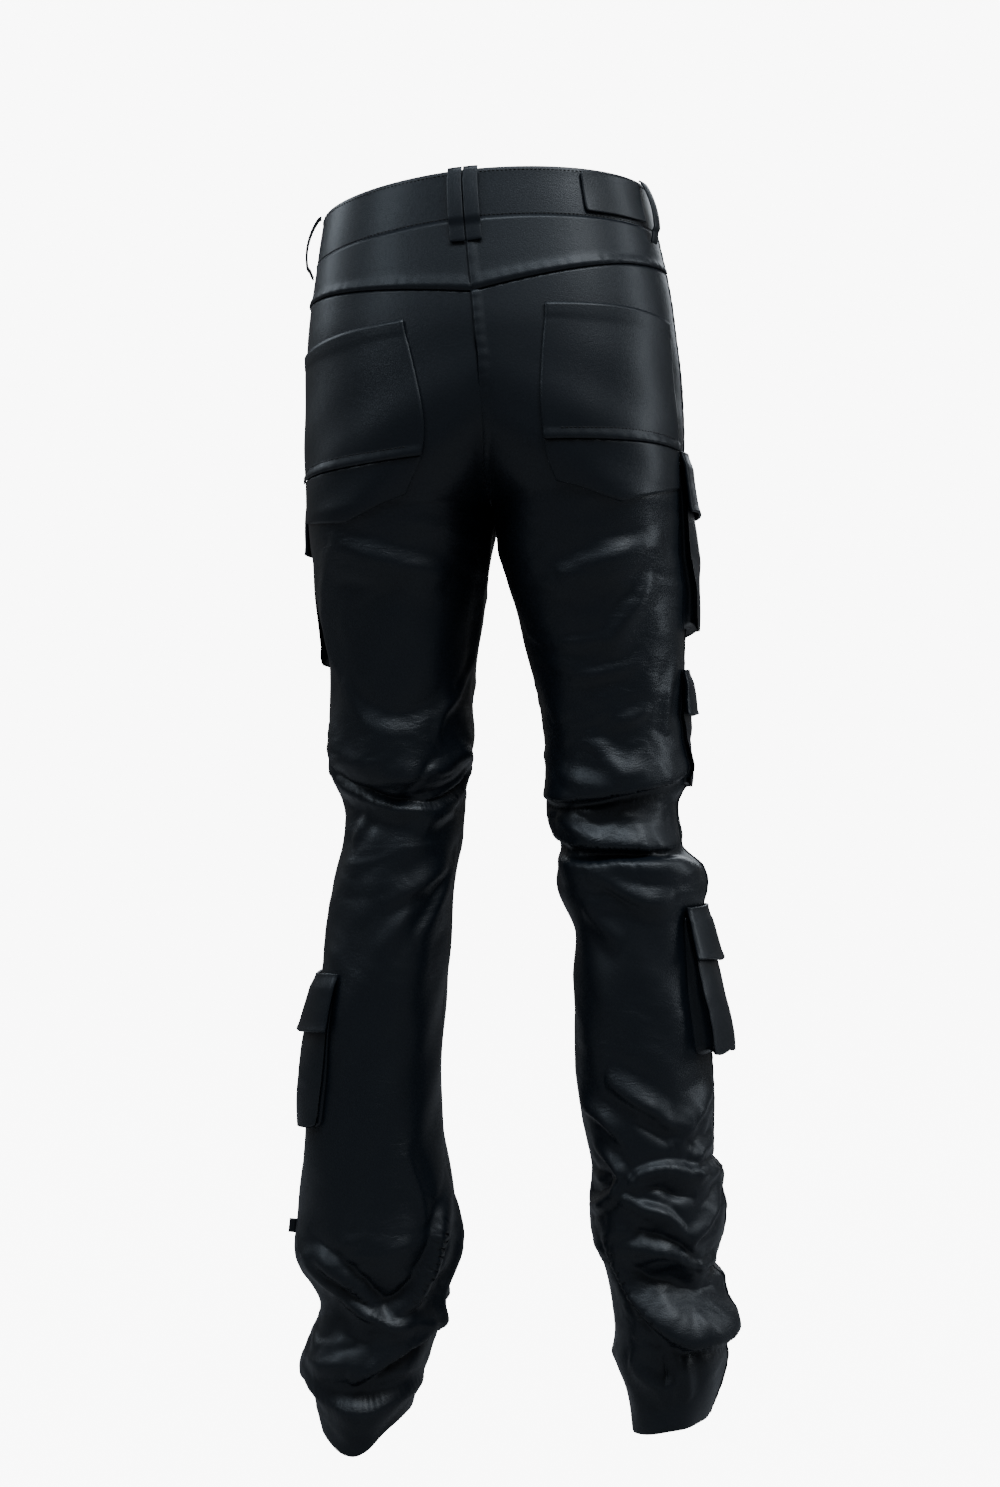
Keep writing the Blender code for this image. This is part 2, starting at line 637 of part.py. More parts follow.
# ---------------------------------------------------------------- the garment
for leftover in list(bpy.data.objects):
    bpy.data.objects.remove(leftover)

LEATHER = (0.012, 0.013, 0.015)
EDGE_LEATHER = (0.016, 0.017, 0.019)
METAL = (0.20, 0.20, 0.21)

sides = {1: Lattice(1), -1: Lattice(-1)}
word = {1: "left", -1: "right"}
hem_row = len(sides[1].drops) - 1

paint(waistband(sides[1], sides[-1]), LEATHER, 0.42)
for side, lattice in sides.items():
    seam = lattice.last
    end = 2 * lattice.last
    paint(panel("yoke_" + word[side], lattice, seam, end, 1, 3), LEATHER, 0.42)
    paint(panel("back_" + word[side], lattice, seam, end, 3, hem_row), LEATHER, 0.42)
    paint(panel("front_" + word[side], lattice, 0, seam, 1, hem_row), LEATHER, 0.42)
    upper = overlay("pocket_upper_" + word[side], lattice, POCKET_UPPER[side], OVERLAY_GAP, WALL)
    lower = overlay("pocket_lower_" + word[side], lattice, POCKET_LOWER[side], OVERLAY_GAP, WALL)
    paint(upper, EDGE_LEATHER, 0.42)
    paint(lower, EDGE_LEATHER, 0.42)

for name, side, back, front, mouth, foot, edge, stand_mouth, stand_foot in CARGO:
    lattice = sides[side]
    sack = bag("bag_" + name, lattice, back, front, mouth, foot, stand_mouth, stand_foot)
    cover = flap("flap_" + name, lattice, back, front, mouth, foot, edge, stand_mouth, stand_foot)
    paint(sack, LEATHER, 0.42)
    paint(cover, EDGE_LEATHER, 0.42)

for name, side, degrees, width, top, foot, stand in LOOPS:
    paint(belt_loop(name, sides[side], degrees, width, top, foot, stand), EDGE_LEATHER, 0.42)

paint(overlay("waist_patch", sides[-1], WAIST_PATCH, OVERLAY_GAP, 0.0012), EDGE_LEATHER, 0.5)
paint(side_tab(sides[1]), EDGE_LEATHER, 0.5)
paint(waist_button(sides[1]), METAL, 0.3, 1.0)
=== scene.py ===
import math

import bpy
import numpy as np
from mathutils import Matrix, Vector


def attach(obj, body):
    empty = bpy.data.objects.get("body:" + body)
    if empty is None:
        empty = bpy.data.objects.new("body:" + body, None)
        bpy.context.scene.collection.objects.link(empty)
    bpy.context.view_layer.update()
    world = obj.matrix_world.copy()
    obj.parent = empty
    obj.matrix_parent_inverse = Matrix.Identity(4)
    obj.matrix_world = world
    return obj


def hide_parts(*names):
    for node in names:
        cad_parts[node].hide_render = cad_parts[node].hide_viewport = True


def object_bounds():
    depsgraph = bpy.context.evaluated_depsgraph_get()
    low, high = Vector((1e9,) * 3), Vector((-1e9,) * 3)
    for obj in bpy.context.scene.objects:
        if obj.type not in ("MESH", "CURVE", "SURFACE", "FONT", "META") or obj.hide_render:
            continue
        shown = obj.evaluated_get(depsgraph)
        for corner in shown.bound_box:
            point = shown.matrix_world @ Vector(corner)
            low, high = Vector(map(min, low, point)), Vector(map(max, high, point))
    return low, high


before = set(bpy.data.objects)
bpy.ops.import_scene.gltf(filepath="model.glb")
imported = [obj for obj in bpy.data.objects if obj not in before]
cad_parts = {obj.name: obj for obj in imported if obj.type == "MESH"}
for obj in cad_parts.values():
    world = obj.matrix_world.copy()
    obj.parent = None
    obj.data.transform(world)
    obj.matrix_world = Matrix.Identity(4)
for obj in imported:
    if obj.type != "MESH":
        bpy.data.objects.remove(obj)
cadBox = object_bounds()

# how the trousers are cut and worn (metres; a drop is measured down from the waist edge)
cut = {
    "bandDepth": 0.041,      # waistband seam
    "yokeDepth": 0.078,      # yoke seam at the side
    "yokeDip": 0.0115,       # extra drop of the yoke seam at centre back
    "riseStart": 0.125,      # where the seat seam turns under the body
    "crotch": 0.252,
    "lean": 0.087,           # rise per metre towards the right: the garment hangs a little askew
    "raiseBack": 0.012,      # the waist edge rises at the back
    "dropFront": 0.014,
    "leather": 0.0014,
    "foldRoom": {1: 0.0045, -1: 0.0035},   # the side of each leg is drawn in by this, to leave room for folds
    "foldRoomFrom": 0.10,    # and eases in from this level over the next
    "foldRoomOver": 0.15,
    "yokeRise": 0.005,       # the yoke seam lifts this much at the side seam
    "levelAgain": 0.17,      # below here cut lines no longer follow the yoke
    "hemFrom": 0.90,         # from here down they follow the hem
    "fuller": 0.035,         # how much squarer than an oval a leg is
}

# widths and depths of the worn shape: drop, outer, inner, back, front
hipSections = (
    (-0.03, 0.130, 0.0, 0.100, -0.103),
    (0.00, 0.134, 0.0, 0.105, -0.105),
    (0.04, 0.141, 0.0, 0.113, -0.108),
    (0.08, 0.148, 0.0, 0.121, -0.111),
    (0.12, 0.153, 0.0, 0.127, -0.112),
    (0.16, 0.156, 0.0, 0.129, -0.112),
    (0.20, 0.158, 0.0, 0.126, -0.110),
)
leftSections = (
    (0.252, 0.160, 0.0003, 0.112, -0.105),
    (0.30, 0.156, 0.008, 0.098, -0.101),
    (0.37, 0.145, 0.020, 0.083, -0.094),
    (0.44, 0.1435, 0.025, 0.070, -0.082),
    (0.466, 0.142, 0.027, 0.066, -0.079),
    (0.485, 0.1345, 0.030, 0.062, -0.076),
    (0.517, 0.1325, 0.0315, 0.063, -0.071),
    (0.55, 0.139, 0.0365, 0.066, -0.066),
    (0.63, 0.150, 0.0415, 0.076, -0.056),
    (0.705, 0.159, 0.046, 0.080, -0.050),
    (0.765, 0.1625, 0.0445, 0.084, -0.048),
    (0.82, 0.166, 0.035, 0.088, -0.048),
    (0.855, 0.169, 0.029, 0.092, -0.048),
    (0.905, 0.148, 0.043, 0.080, -0.040),
    (0.93, 0.157, 0.050, 0.084, -0.042),
    (0.957, 0.164, 0.057, 0.086, -0.044),
    (0.970, 0.155, 0.063, 0.080, -0.042),
    (0.99, 0.148, 0.070, 0.078, -0.041),
    (1.03, 0.138, 0.084, 0.074, -0.040),
)
rightSections = (
    (0.252, 0.1566, 0.0003, 0.112, -0.105),
    (0.285, 0.157, 0.0035, 0.103, -0.102),
    (0.335, 0.1585, 0.016, 0.091, -0.097),
    (0.385, 0.1585, 0.0295, 0.080, -0.090),
    (0.42, 0.1585, 0.037, 0.073, -0.084),
    (0.46, 0.1575, 0.040, 0.068, -0.079),
    (0.497, 0.158, 0.0435, 0.063, -0.074),
    (0.51, 0.1535, 0.043, 0.063, -0.072),
    (0.535, 0.156, 0.054, 0.064, -0.068),
    (0.548, 0.158, 0.0545, 0.064, -0.066),
    (0.565, 0.174, 0.0505, 0.072, -0.070),
    (0.61, 0.171, 0.068, 0.072, -0.058),
    (0.65, 0.173, 0.068, 0.076, -0.054),
    (0.72, 0.181, 0.069, 0.080, -0.050),
    (0.80, 0.186, 0.0825, 0.084, -0.048),
    (0.86, 0.193, 0.084, 0.088, -0.048),
    (0.886, 0.1865, 0.094, 0.080, -0.042),
    (0.936, 0.203, 0.102, 0.088, -0.044),
    (0.961, 0.197, 0.1015, 0.082, -0.042),
    (0.986, 0.191, 0.111, 0.078, -0.040),
    (1.03, 0.175, 0.119, 0.074, -0.040),
)
# sideways place of the body's middle by drop, and how far the centre seam stands aside from it
swayRows = ((0.0, 0.003), (0.25, -0.007), (0.40, -0.007), (1.05, -0.007))
seamAsideRows = ((0.0, 0.003), (0.04, 0.0012), (0.088, -0.0021), (0.145, -0.0053), (0.20, -0.0055),
                 (0.252, 0.0), (0.27, 0.0), (1.05, 0.0))
# level of the hem at the side seam, back, inseam and front
hemLevels = {1: (0.999, 1.019, 0.995, 0.965), -1: (1.0115, 1.0125, 1.0185, 1.000)}
legSections = {1: leftSections, -1: rightSections}

# folds: rise, width above, width below and sag in mm, then the route as angle and drop in mm
leftFolds = (
    (5.0, 7, 14, 0, ((54, 272), (80, 288), (97, 296), (134, 309))),
    (3.0, 9, 9, 0, ((58, 276), (36, 351), (54, 396))),
    (2.5, 7, 8, 0, ((170, 262), (173, 328), (171, 415))),
    (4.0, 6, 12, 2, ((52, 385), (65, 408), (77, 421), (93, 429), (107, 430), (122, 425), (135, 416),
                     (146, 395))),
    (2.5, 4, 5, 0, ((172, 372), (152, 404), (134, 422), (129, 440))),
    (10.0, 18, 21, 8, ((22, 424), (54, 442), (83, 453), (108, 458), (131, 456), (159, 446), (188, 428))),
    (-4.5, 7, 4, 0, ((30, 453), (66, 475), (89, 484), (112, 489), (130, 489), (149, 484), (172, 470))),
    (6.0, 3.5, 10, 2, ((26, 458), (48, 472), (66, 482), (89, 491), (112, 496), (130, 496), (149, 491),
                       (168, 483), (184, 462))),
    (-3.5, 5, 5, 0, ((100, 486), (113, 467), (123, 453), (146, 448))),
    (4.0, 4, 4, 1, ((98, 491), (124, 488), (143, 482), (159, 472), (169, 462))),
    (3.0, 5, 5, 0, ((184, 470), (167, 455), (146, 445))),
    (2.5, 6, 6, 0, ((70, 492), (60, 507), (50, 522))),
    (2.5, 5, 6, 0, ((160, 495), (137, 505), (122, 508))),
    (4.0, 11, 6, 0, ((92, 574), (128, 559), (166, 543))),
    (3.5, 6, 12, 0, ((176, 534), (154, 570), (128, 608))),
    (1.6, 8, 8, 0, ((95, 612), (109, 594), (123, 574))),
    (2.5, 7, 7, 0, ((124, 770), (131, 800), (136, 836))),
    (-4.5, 12, 5, 0, ((44, 832), (72, 856), (88, 877), (102, 892), (114, 891), (126, 878), (137, 856),
                      (146, 814))),
    (6.5, 5, 15, 4, ((28, 850), (62, 858), (77, 873), (89, 893), (101, 904), (114, 902), (125, 893),
                     (135, 877), (142, 862), (147, 840), (158, 824), (176, 808))),
    (-3.5, 4, 3.5, 0, ((48, 858), (66, 875), (82, 888), (98, 899), (112, 905))),
    (5.0, 4, 11, 2, ((42, 850), (56, 872), (71, 887), (88, 898), (106, 908), (134, 922))),
    (4.5, 5, 5, 1, ((104, 909), (131, 912), (184, 916))),
    (4.5, 8, 8, 0, ((168, 926), (170, 892), (177, 866), (182, 820))),
    (-4.0, 7, 7, 0, ((150, 905), (147, 884), (157, 856), (168, 836))),
    (8.0, 14, 4, 5, ((190, 914), (149, 924), (129, 931), (114, 938), (88, 950))),
    (-6.0, 6, 8, 0, ((176, 930), (150, 937), (129, 944), (108, 952), (80, 950), (52, 950))),
    (4.0, 7, 5, 2, ((28, 930), (57, 938), (82, 936), (104, 934))),
    (8.0, 4, 14, 3, ((34, 955), (62, 961), (89, 965), (106, 967), (126, 967), (180, 972))),
    (5.0, 14, 10, 3, ((-170, 458), (-100, 482), (-30, 466))),
    (-4.0, 5, 4, 0, ((-165, 478), (-100, 500), (-35, 486))),
    (5.0, 5, 9, 1, ((-168, 488), (-100, 510), (-30, 496))),
    (4.0, 9, 7, 1, ((-150, 528), (-95, 545), (-40, 530))),
    (7.0, 13, 7, 4, ((-165, 862), (-100, 890), (-25, 868))),
    (-5.0, 5, 5, 0, ((-160, 878), (-100, 906), (-30, 884))),
    (6.0, 6, 8, 2, ((-170, 900), (-95, 926), (-30, 906))),
    (5.0, 7, 9, 2, ((-160, 940), (-90, 952), (-35, 938))),
)
rightFolds = (
    (5.5, 7, 14, 0, ((108, 320), (70, 308), (34, 296))),
    (4.5, 6, 10, 0, ((84, 382), (63, 352), (44, 322))),
    (2.0, 4, 5, 0, ((124, 373), (97, 374), (77, 373))),
    (2.2, 4, 5, 0, ((114, 400), (83, 400), (66, 396), (56, 392))),
    (2.5, 6, 6, 0, ((24, 392), (36, 423), (36, 454))),
    (2.5, 5, 5, 0, ((84, 441), (66, 438), (53, 431))),
    (4.0, 7, 8, 1, ((106, 448), (91, 465), (80, 475), (60, 478))),
    (2.5, 5, 5, 0, ((132, 476), (108, 482), (84, 486))),
    (10.0, 18, 5, 7, ((176, 490), (149, 493), (105, 493), (72, 490), (26, 484), (4, 480))),
    (-4.5, 4, 6, 0, ((170, 505), (130, 507), (95, 506), (60, 504), (20, 498))),
    (3.5, 5, 6, 0, ((144, 514), (120, 522), (98, 535))),
    (7.0, 9, 4, 4, ((168, 522), (124, 533), (101, 536), (80, 538), (60, 541), (45, 543), (8, 543))),
    (-4.5, 3, 4, 0, ((160, 536), (124, 544), (101, 546), (80, 547), (62, 550), (40, 551))),
    (6.0, 3.5, 9, 1, ((178, 545), (145, 551), (112, 556), (88, 556), (71, 556), (58, 548), (66, 538))),
    (5.0, 4, 9, 0, ((76, 560), (57, 561), (39, 560), (14, 562))),
    (-3.0, 4, 4, 0, ((108, 572), (94, 583), (76, 594))),
    (4.0, 6, 8, 1, ((115, 560), (103, 568), (90, 577), (77, 585), (52, 589))),
    (3.5, 8, 9, 0, ((128, 588), (114, 604), (96, 620))),
    (5.5, 9, 5, 2, ((118, 726), (104, 736), (90, 746), (78, 754), (66, 765), (44, 764))),
    (4.5, 8, 4, 1, ((156, 746), (125, 760), (106, 780))),
    (-4.0, 5, 5, 0, ((100, 762), (82, 772), (66, 784))),
    (-7.0, 8, 7, 0, ((172, 800), (150, 803), (132, 808), (150, 820), (172, 822))),
    (6.0, 6, 4, 1, ((148, 780), (121, 796), (113, 807), (121, 819), (170, 834))),
    (5.0, 9, 5, 1, ((8, 746), (36, 760), (47, 772), (62, 785))),
    (-4.0, 5, 5, 0, ((12, 776), (27, 784), (42, 788))),
    (4.5, 5, 5, 0, ((14, 786), (39, 794), (45, 803), (40, 814))),
    (5.5, 4, 9, 1, ((124, 826), (110, 814), (95, 806), (78, 802), (57, 804), (41, 810), (4, 804))),
    (-5.0, 5, 5, 0, ((98, 817), (80, 817), (62, 824), (48, 826))),
    (5.0, 3.5, 8, 1, ((122, 818), (104, 826), (88, 833), (74, 839), (58, 858))),
    (-5.0, 6, 6, 0, ((118, 846), (92, 852), (74, 856), (64, 862))),
    (5.5, 4, 10, 1, ((126, 862), (108, 863), (88, 865), (71, 870), (52, 880), (8, 884))),
    (5.0, 6, 5, 1, ((8, 822), (36, 846), (55, 863), (38, 878))),
    (-5.0, 7, 9, 0, ((112, 880), (92, 890), (72, 895), (25, 902), (10, 902))),
    (9.0, 13, 5, 5, ((136, 852), (127, 880), (116, 900), (102, 917), (87, 928), (69, 935), (50, 935),
                     (-10, 930))),
    (-4.0, 5, 3, 0, ((-50, 796), (4, 804), (28, 800))),
    (4.0, 3, 7, 1, ((-50, 806), (0, 814), (30, 809))),
    (-5.0, 5, 3, 0, ((-50, 884), (0, 891), (38, 890))),
    (4.5, 3, 8, 1, ((-50, 894), (0, 901), (36, 899))),
    (-4.5, 3, 4, 0, ((-50, 946), (0, 952), (44, 949), (80, 948))),
    (-4.0, 5, 6, 0, ((120, 926), (100, 938), (70, 946), (30, 942))),
    (5.0, 6, 8, 0, ((128, 946), (107, 962), (97, 968), (81, 966), (70, 954))),
    (5.0, 8, 8, 0, ((76, 940), (70, 958), (66, 980))),
    (-4.0, 7, 7, 0, ((94, 944), (90, 958), (96, 975))),
    (5.0, 14, 9, 3, ((-170, 482), (-100, 500), (-30, 486))),
    (-4.0, 4, 5, 0, ((-165, 500), (-100, 518), (-30, 504))),
    (5.0, 6, 12, 1, ((-170, 526), (-95, 545), (-20, 534))),
    (5.0, 5, 12, 1, ((-170, 560), (-95, 572), (-20, 564))),
    (5.0, 9, 7, 2, ((-160, 780), (-95, 800), (-20, 786))),
    (6.0, 12, 7, 3, ((-165, 836), (-95, 858), (-20, 842))),
    (-5.0, 5, 5, 0, ((-160, 852), (-95, 876), (-25, 860))),
    (7.0, 10, 8, 4, ((-165, 900), (-95, 928), (-25, 908))),
)
# small creases scattered where the leather is gathered: side, angles, drops, how many,
# length in degrees, slope in mm, rise and width in mm
creaseZones = (
    (1, 20, 178, 0.262, 0.330, 14, 60, 24, 0.7, 4.5),
    (1, 10, 178, 0.400, 0.540, 22, 60, 12, 0.8, 4.0),
    (1, 10, 178, 0.540, 0.800, 10, 46, 26, 0.5, 6.0),
    (1, 10, 178, 0.820, 0.985, 26, 54, 14, 1.0, 4.0),
    (-1, 20, 178, 0.262, 0.400, 22, 60, -22, 0.8, 4.5),
    (-1, 10, 178, 0.400, 0.600, 28, 60, 10, 0.9, 4.0),
    (-1, 10, 178, 0.600, 0.740, 8, 44, 26, 0.5, 6.0),
    (-1, 10, 178, 0.740, 0.985, 32, 52, 14, 1.0, 4.0),
    (1, -175, -10, 0.300, 0.560, 30, 56, 12, 0.9, 4.5),
    (1, -175, -10, 0.800, 0.960, 30, 54, 12, 1.0, 4.5),
    (-1, -175, -10, 0.300, 0.600, 30, 56, 12, 0.9, 4.5),
    (-1, -175, -10, 0.760, 0.985, 34, 54, 12, 1.0, 4.5),
)


# a smooth curve through (place, value) rows: cubic pieces with averaged slopes
def smoothThrough(places, values, at):
    places = np.asarray(places, float)
    values = np.asarray(values, float)
    width = np.diff(places)
    slope = np.diff(values) / width
    bend = np.concatenate([slope[:1], (slope[:-1] * width[1:] + slope[1:] * width[:-1])
                           / (places[2:] - places[:-2]), slope[-1:]])
    at = np.clip(at, places[0], places[-1])
    k = np.clip(np.searchsorted(places, at, side="right") - 1, 0, len(places) - 2)
    t = (at - places[k]) / width[k]
    return ((2 * t**3 - 3 * t**2 + 1) * values[k] + (t**3 - 2 * t**2 + t) * width[k] * bend[k]
            + (3 * t**2 - 2 * t**3) * values[k + 1] + (t**3 - t**2) * width[k] * bend[k + 1])


# sideways distance of the centre seam from the body's middle
def seamAside(drop):
    rows = np.array(seamAsideRows)
    return smoothThrough(rows[:, 0], rows[:, 1], drop)


# sideways place of the centre seam at a drop
def seamSway(drop):
    rows = np.array(swayRows)
    return smoothThrough(rows[:, 0], rows[:, 1], drop) + seamAside(drop)


# cosine of how far the seat seam has turned under the body: 0 at the hips, 1 at the crotch
def seamTurn(drop):
    return np.clip((drop - cut["riseStart"]) / (cut["crotch"] - cut["riseStart"]), 0, 1) ** 1.6


# true level of a cut line: the drop, plus the waist edge's rise and fall, which fades into the yoke
# seam's dip, which fades out in turn; near the hem, the hem's own rise and fall fades in
def trueLevel(side, angle, drop):
    sine = np.sin(angle)
    waist = np.where(sine > 0, -cut["raiseBack"], cut["dropFront"]) * sine**2
    toCentre = np.clip((np.degrees(angle) - 35) / 55, 0, 1) ** 1.5
    dip = -cut["yokeRise"] + (cut["yokeDip"] + cut["yokeRise"]) * toCentre
    upper = np.clip((drop - cut["bandDepth"]) / (cut["yokeDepth"] - cut["bandDepth"]), 0, 1)
    lower = np.clip((drop - cut["yokeDepth"]) / (cut["levelAgain"] - cut["yokeDepth"]), 0, 1)
    shift = np.where(drop < cut["yokeDepth"], waist * (1 - upper) + dip * upper, dip * (1 - lower))
    sideSeam, back, inseam, front = hemLevels[side]
    middle = (sideSeam + inseam) / 2
    hem = middle + (sideSeam - inseam) / 2 * np.cos(angle)
    hem = hem + np.where(sine > 0, back - middle, front - middle) * sine**2
    share = np.clip((drop - cut["hemFrom"]) / 0.10, 0, 1)
    return drop + shift + (hem - 1.0) * share * share * (3 - 2 * share)


# the unfolded leather: a ring round each leg whose half widths and depths follow the sections;
# above the crotch the ring opens at the centre seam, which turns under the body
def plainSurface(side, angle, drop):
    level = trueLevel(side, angle, drop)
    rows = np.array(hipSections + legSections[side])
    outer, inner, back, front = (smoothThrough(rows[:, 0], rows[:, k], level) for k in range(1, 5))
    drawnIn = cut["foldRoom"][side] * np.clip((level - cut["foldRoomFrom"]) / cut["foldRoomOver"], 0, 1)
    outer = outer - side * seamAside(level) - drawnIn
    turn = seamTurn(level)
    fork = 0.5 * legSections[side][0][1]
    centre = np.where(level < cut["crotch"], fork * turn, (outer + inner) / 2)
    inward = np.where(level < cut["crotch"], fork, (outer - inner) / 2)
    reach = np.where(np.cos(angle) > 0, outer - centre, inward)
    end = np.maximum(np.arccos(-turn), 1e-6)
    fuller = 1 + cut["fuller"] * np.sin(2 * angle) ** 2 * (1 - np.clip(np.abs(angle) / end, 0, 1) ** 6)
    x = centre + reach * np.cos(angle) * fuller
    y = (back + front) / 2 + (back - front) / 2 * np.sin(angle) * fuller
    wide = seamSway(level) + side * x
    return np.stack([wide, y, -level - cut["lean"] * wide], -1)


foldShape = {
    "points": 48,            # along each route
    "perDegree": 1.4,        # mm round the leg for a degree, near enough
    "farthest": 3.2,         # a fold reaches this many widths
    "ridge": 1.8,            # power of the bell of a ridge
    "valley": 1.3,
    "trough": 0.22,          # depth beside a ridge, by its height, and its place and width by the ridge's
    "troughAt": 2.1,
    "troughWide": 0.9,
}


# a route through a few (angle, drop) points, as many points along a smooth curve
def smoothRoute(route, count):
    route = np.asarray(route, float)
    steps = np.hypot(np.diff(route[:, 0]) * foldShape["perDegree"], np.diff(route[:, 1]))
    along = np.concatenate([[0], np.cumsum(steps)])
    at = np.linspace(0, along[-1], count)
    return smoothThrough(along, route[:, 0], at), smoothThrough(along, route[:, 1], at)


# one fold: a bell across its route, wider or narrower above and below it, fading at both ends;
# a ridge is rounded and has a shallow trough beside it, a valley (negative rise) is sharper;
# gives the rise and the sag over the whole side
def addFold(degrees, drop, rise, sag, row):
    high, above, below, low, route = row
    s = foldShape
    lineAngle, lineDrop = smoothRoute(route, s["points"])
    t = np.linspace(0, 1, s["points"])
    reach = s["farthest"] * max(above, below)
    reachAngle = reach / 1.3                        # in degrees, a little more than it need be
    for turn in (0.0, 360.0, -360.0):
        turned = degrees + turn
        near = ((turned > lineAngle.min() - reachAngle) & (turned < lineAngle.max() + reachAngle)
                & (drop * 1000 > lineDrop.min() - reach) & (drop * 1000 < lineDrop.max() + reach))
        if not near.any():
            continue
        overX = (turned[near][:, None] - lineAngle) * s["perDegree"]
        overY = drop[near][:, None] * 1000 - lineDrop
        apart = overX**2 + overY**2
        k = np.argmin(apart, axis=1)
        pick = (np.arange(len(k)), k)
        away = np.sqrt(apart[pick])
        under = overY[pick] > 0
        width = np.where(under, below, above)
        taper = np.sin(np.pi * np.clip(t[k], 0, 1)) ** 0.6
        bell = np.exp(-(away / width) ** (s["ridge"] if high > 0 else s["valley"]))
        trough = s["trough"] * np.exp(-((away - s["troughAt"] * width) / (s["troughWide"] * width)) ** 2)
        rise[near] += 0.001 * high * taper * (bell - (trough if high > 0 else 0))
        sag[near] += 0.001 * low * taper * bell


# short random creases in the gathered zones: each is a fold whose angle, drop, length, slope, bow,
# width and rise are drawn in turn, one in three of them a valley
def addCreases(side, degrees, drop, rise, sag):
    dice = np.random.default_rng(41 if side > 0 else 43)
    for zoneSide, angle0, angle1, drop0, drop1, count, length, slope, high, width in creaseZones:
        if zoneSide != side:
            continue
        for _ in range(count):
            angle = dice.uniform(angle0, angle1)
            level = dice.uniform(drop0, drop1) * 1000
            half = length * dice.uniform(0.35, 1.0) / 2
            tilt = slope * dice.uniform(-0.6, 1.0) / 2
            bow = dice.uniform(-5, 5)
            wide = width * dice.uniform(0.7, 1.5)
            rises = high * dice.uniform(0.4, 1.2) * dice.choice([1.0, 1.0, -0.8])
            route = ((angle - half, level - tilt), (angle, level + bow), (angle + half, level + tilt))
            addFold(degrees, drop, rise, sag, (rises, wide, wide, 0, route))


# gathered leather, row by row: side, middle angle and its reach, middle drop and its reach,
# bulge height, length across and pitch down in mm, slope of the folds in mm per degree
gatherZones = (
    (1, 100, 95, 0.300, 0.045, 0.9, 90, 20, 0.16),
    (1, 95, 110, 0.462, 0.055, 1.3, 80, 17, -0.10),
    (1, 100, 110, 0.585, 0.070, 0.7, 85, 24, -0.22),
    (1, 95, 120, 0.910, 0.075, 1.6, 78, 17, 0.05),
    (-1, 90, 95, 0.330, 0.060, 0.9, 90, 20, -0.14),
    (-1, 85, 110, 0.480, 0.085, 1.3, 80, 17, -0.06),
    (-1, 90, 110, 0.690, 0.060, 0.7, 85, 24, 0.22),
    (-1, 80, 120, 0.855, 0.115, 1.7, 78, 17, 0.06),
    (1, -95, 95, 0.470, 0.090, 1.8, 80, 18, 0.05),
    (1, -95, 95, 0.905, 0.080, 2.2, 76, 17, 0.05),
    (-1, -95, 95, 0.500, 0.095, 1.8, 80, 18, 0.05),
    (-1, -95, 95, 0.870, 0.100, 2.2, 76, 17, 0.05),
)


# smooth random waves over a plane: at each whole-number point a random slope, blended between
# with a fifth-power ease; the plane repeats every 64 units
def randomWaves(x, y, seed):
    turn = np.random.default_rng(seed).random((64, 64)) * 2 * np.pi
    i = np.floor(x).astype(int)
    j = np.floor(y).astype(int)
    u = x - i
    v = y - j

    # the wave that one whole-number point sends out
    def slopeAt(a, b):
        t = turn[(i + a) % 64, (j + b) % 64]
        return np.cos(t) * (u - a) + np.sin(t) * (v - b)

    easeU = u**3 * (u * (u * 6 - 15) + 10)
    easeV = v**3 * (v * (v * 6 - 15) + 10)
    low = slopeAt(0, 0) * (1 - easeU) + slopeAt(1, 0) * easeU
    high = slopeAt(0, 1) * (1 - easeU) + slopeAt(1, 1) * easeU
    return low * (1 - easeV) + high * easeV


gatherShape = {
    "perDegree": 2.3,        # mm round the leg for a degree at its widest
    "bendLong": 95,          # length and pitch in mm of the slow waves that bend the folds, and by how much
    "bendTall": 52,
    "bend": 16,
    "driftLong": 60,
    "driftTall": 40,
    "drift": 20,
    "small": 0.35,           # share of the smaller folds
}


# gathers: round bulges with sharp valleys between, the size of a random wave without its sign,
# bent by slower waves and faded at the edge of each zone
def gathers(side, degrees, drop):
    s = gatherShape
    total = np.zeros(degrees.shape)
    for k, (zoneSide, angle, angleReach, middle, reach, high, length, pitch, slope) in enumerate(gatherZones):
        if zoneSide != side:
            continue
        inside = (np.clip(1 - ((degrees - angle) / angleReach) ** 2, 0, 1)
                  * np.clip(1 - ((drop - middle) / reach) ** 2, 0, 1)) ** 0.8
        across = degrees * s["perDegree"]
        down = drop * 1000 + slope * degrees
        bend = randomWaves(across / s["bendLong"], down / s["bendTall"], 11 + k)
        drift = randomWaves(across / s["driftLong"], down / s["driftTall"], 31 + k)
        x = (across + s["drift"] * drift) / length
        y = (down + s["bend"] * bend) / pitch
        bulge = np.sqrt(randomWaves(x, y, 51 + k) ** 2 + 0.0025) * 2.3 - 0.55
        small = np.sqrt(randomWaves(x * 2.1 + 9, y * 1.7 + 4, 71 + k) ** 2 + 0.004) * 2.2 - 0.5
        total += 0.001 * high * inside * (bulge + s["small"] * small)
    return total


# outward normals of a grid of points: the cross product of its two directions
def gridNormals(points, side):
    normal = np.cross(np.gradient(points, axis=0), np.gradient(points, axis=1)) * -side
    return normal / np.maximum(np.linalg.norm(normal, axis=-1, keepdims=True), 1e-12)


# slow swells of the leather: three sine waves of different pitch
def swell(degrees, drop, side):
    a = np.radians(degrees)
    return (0.0009 * np.sin(3 * a + 21 * drop + side) * np.sin(34 * drop + 2 * np.cos(a))
            + 0.0006 * np.sin(5 * a - 47 * drop + 2 * side) + 0.0004 * np.sin(8 * a + 93 * drop))


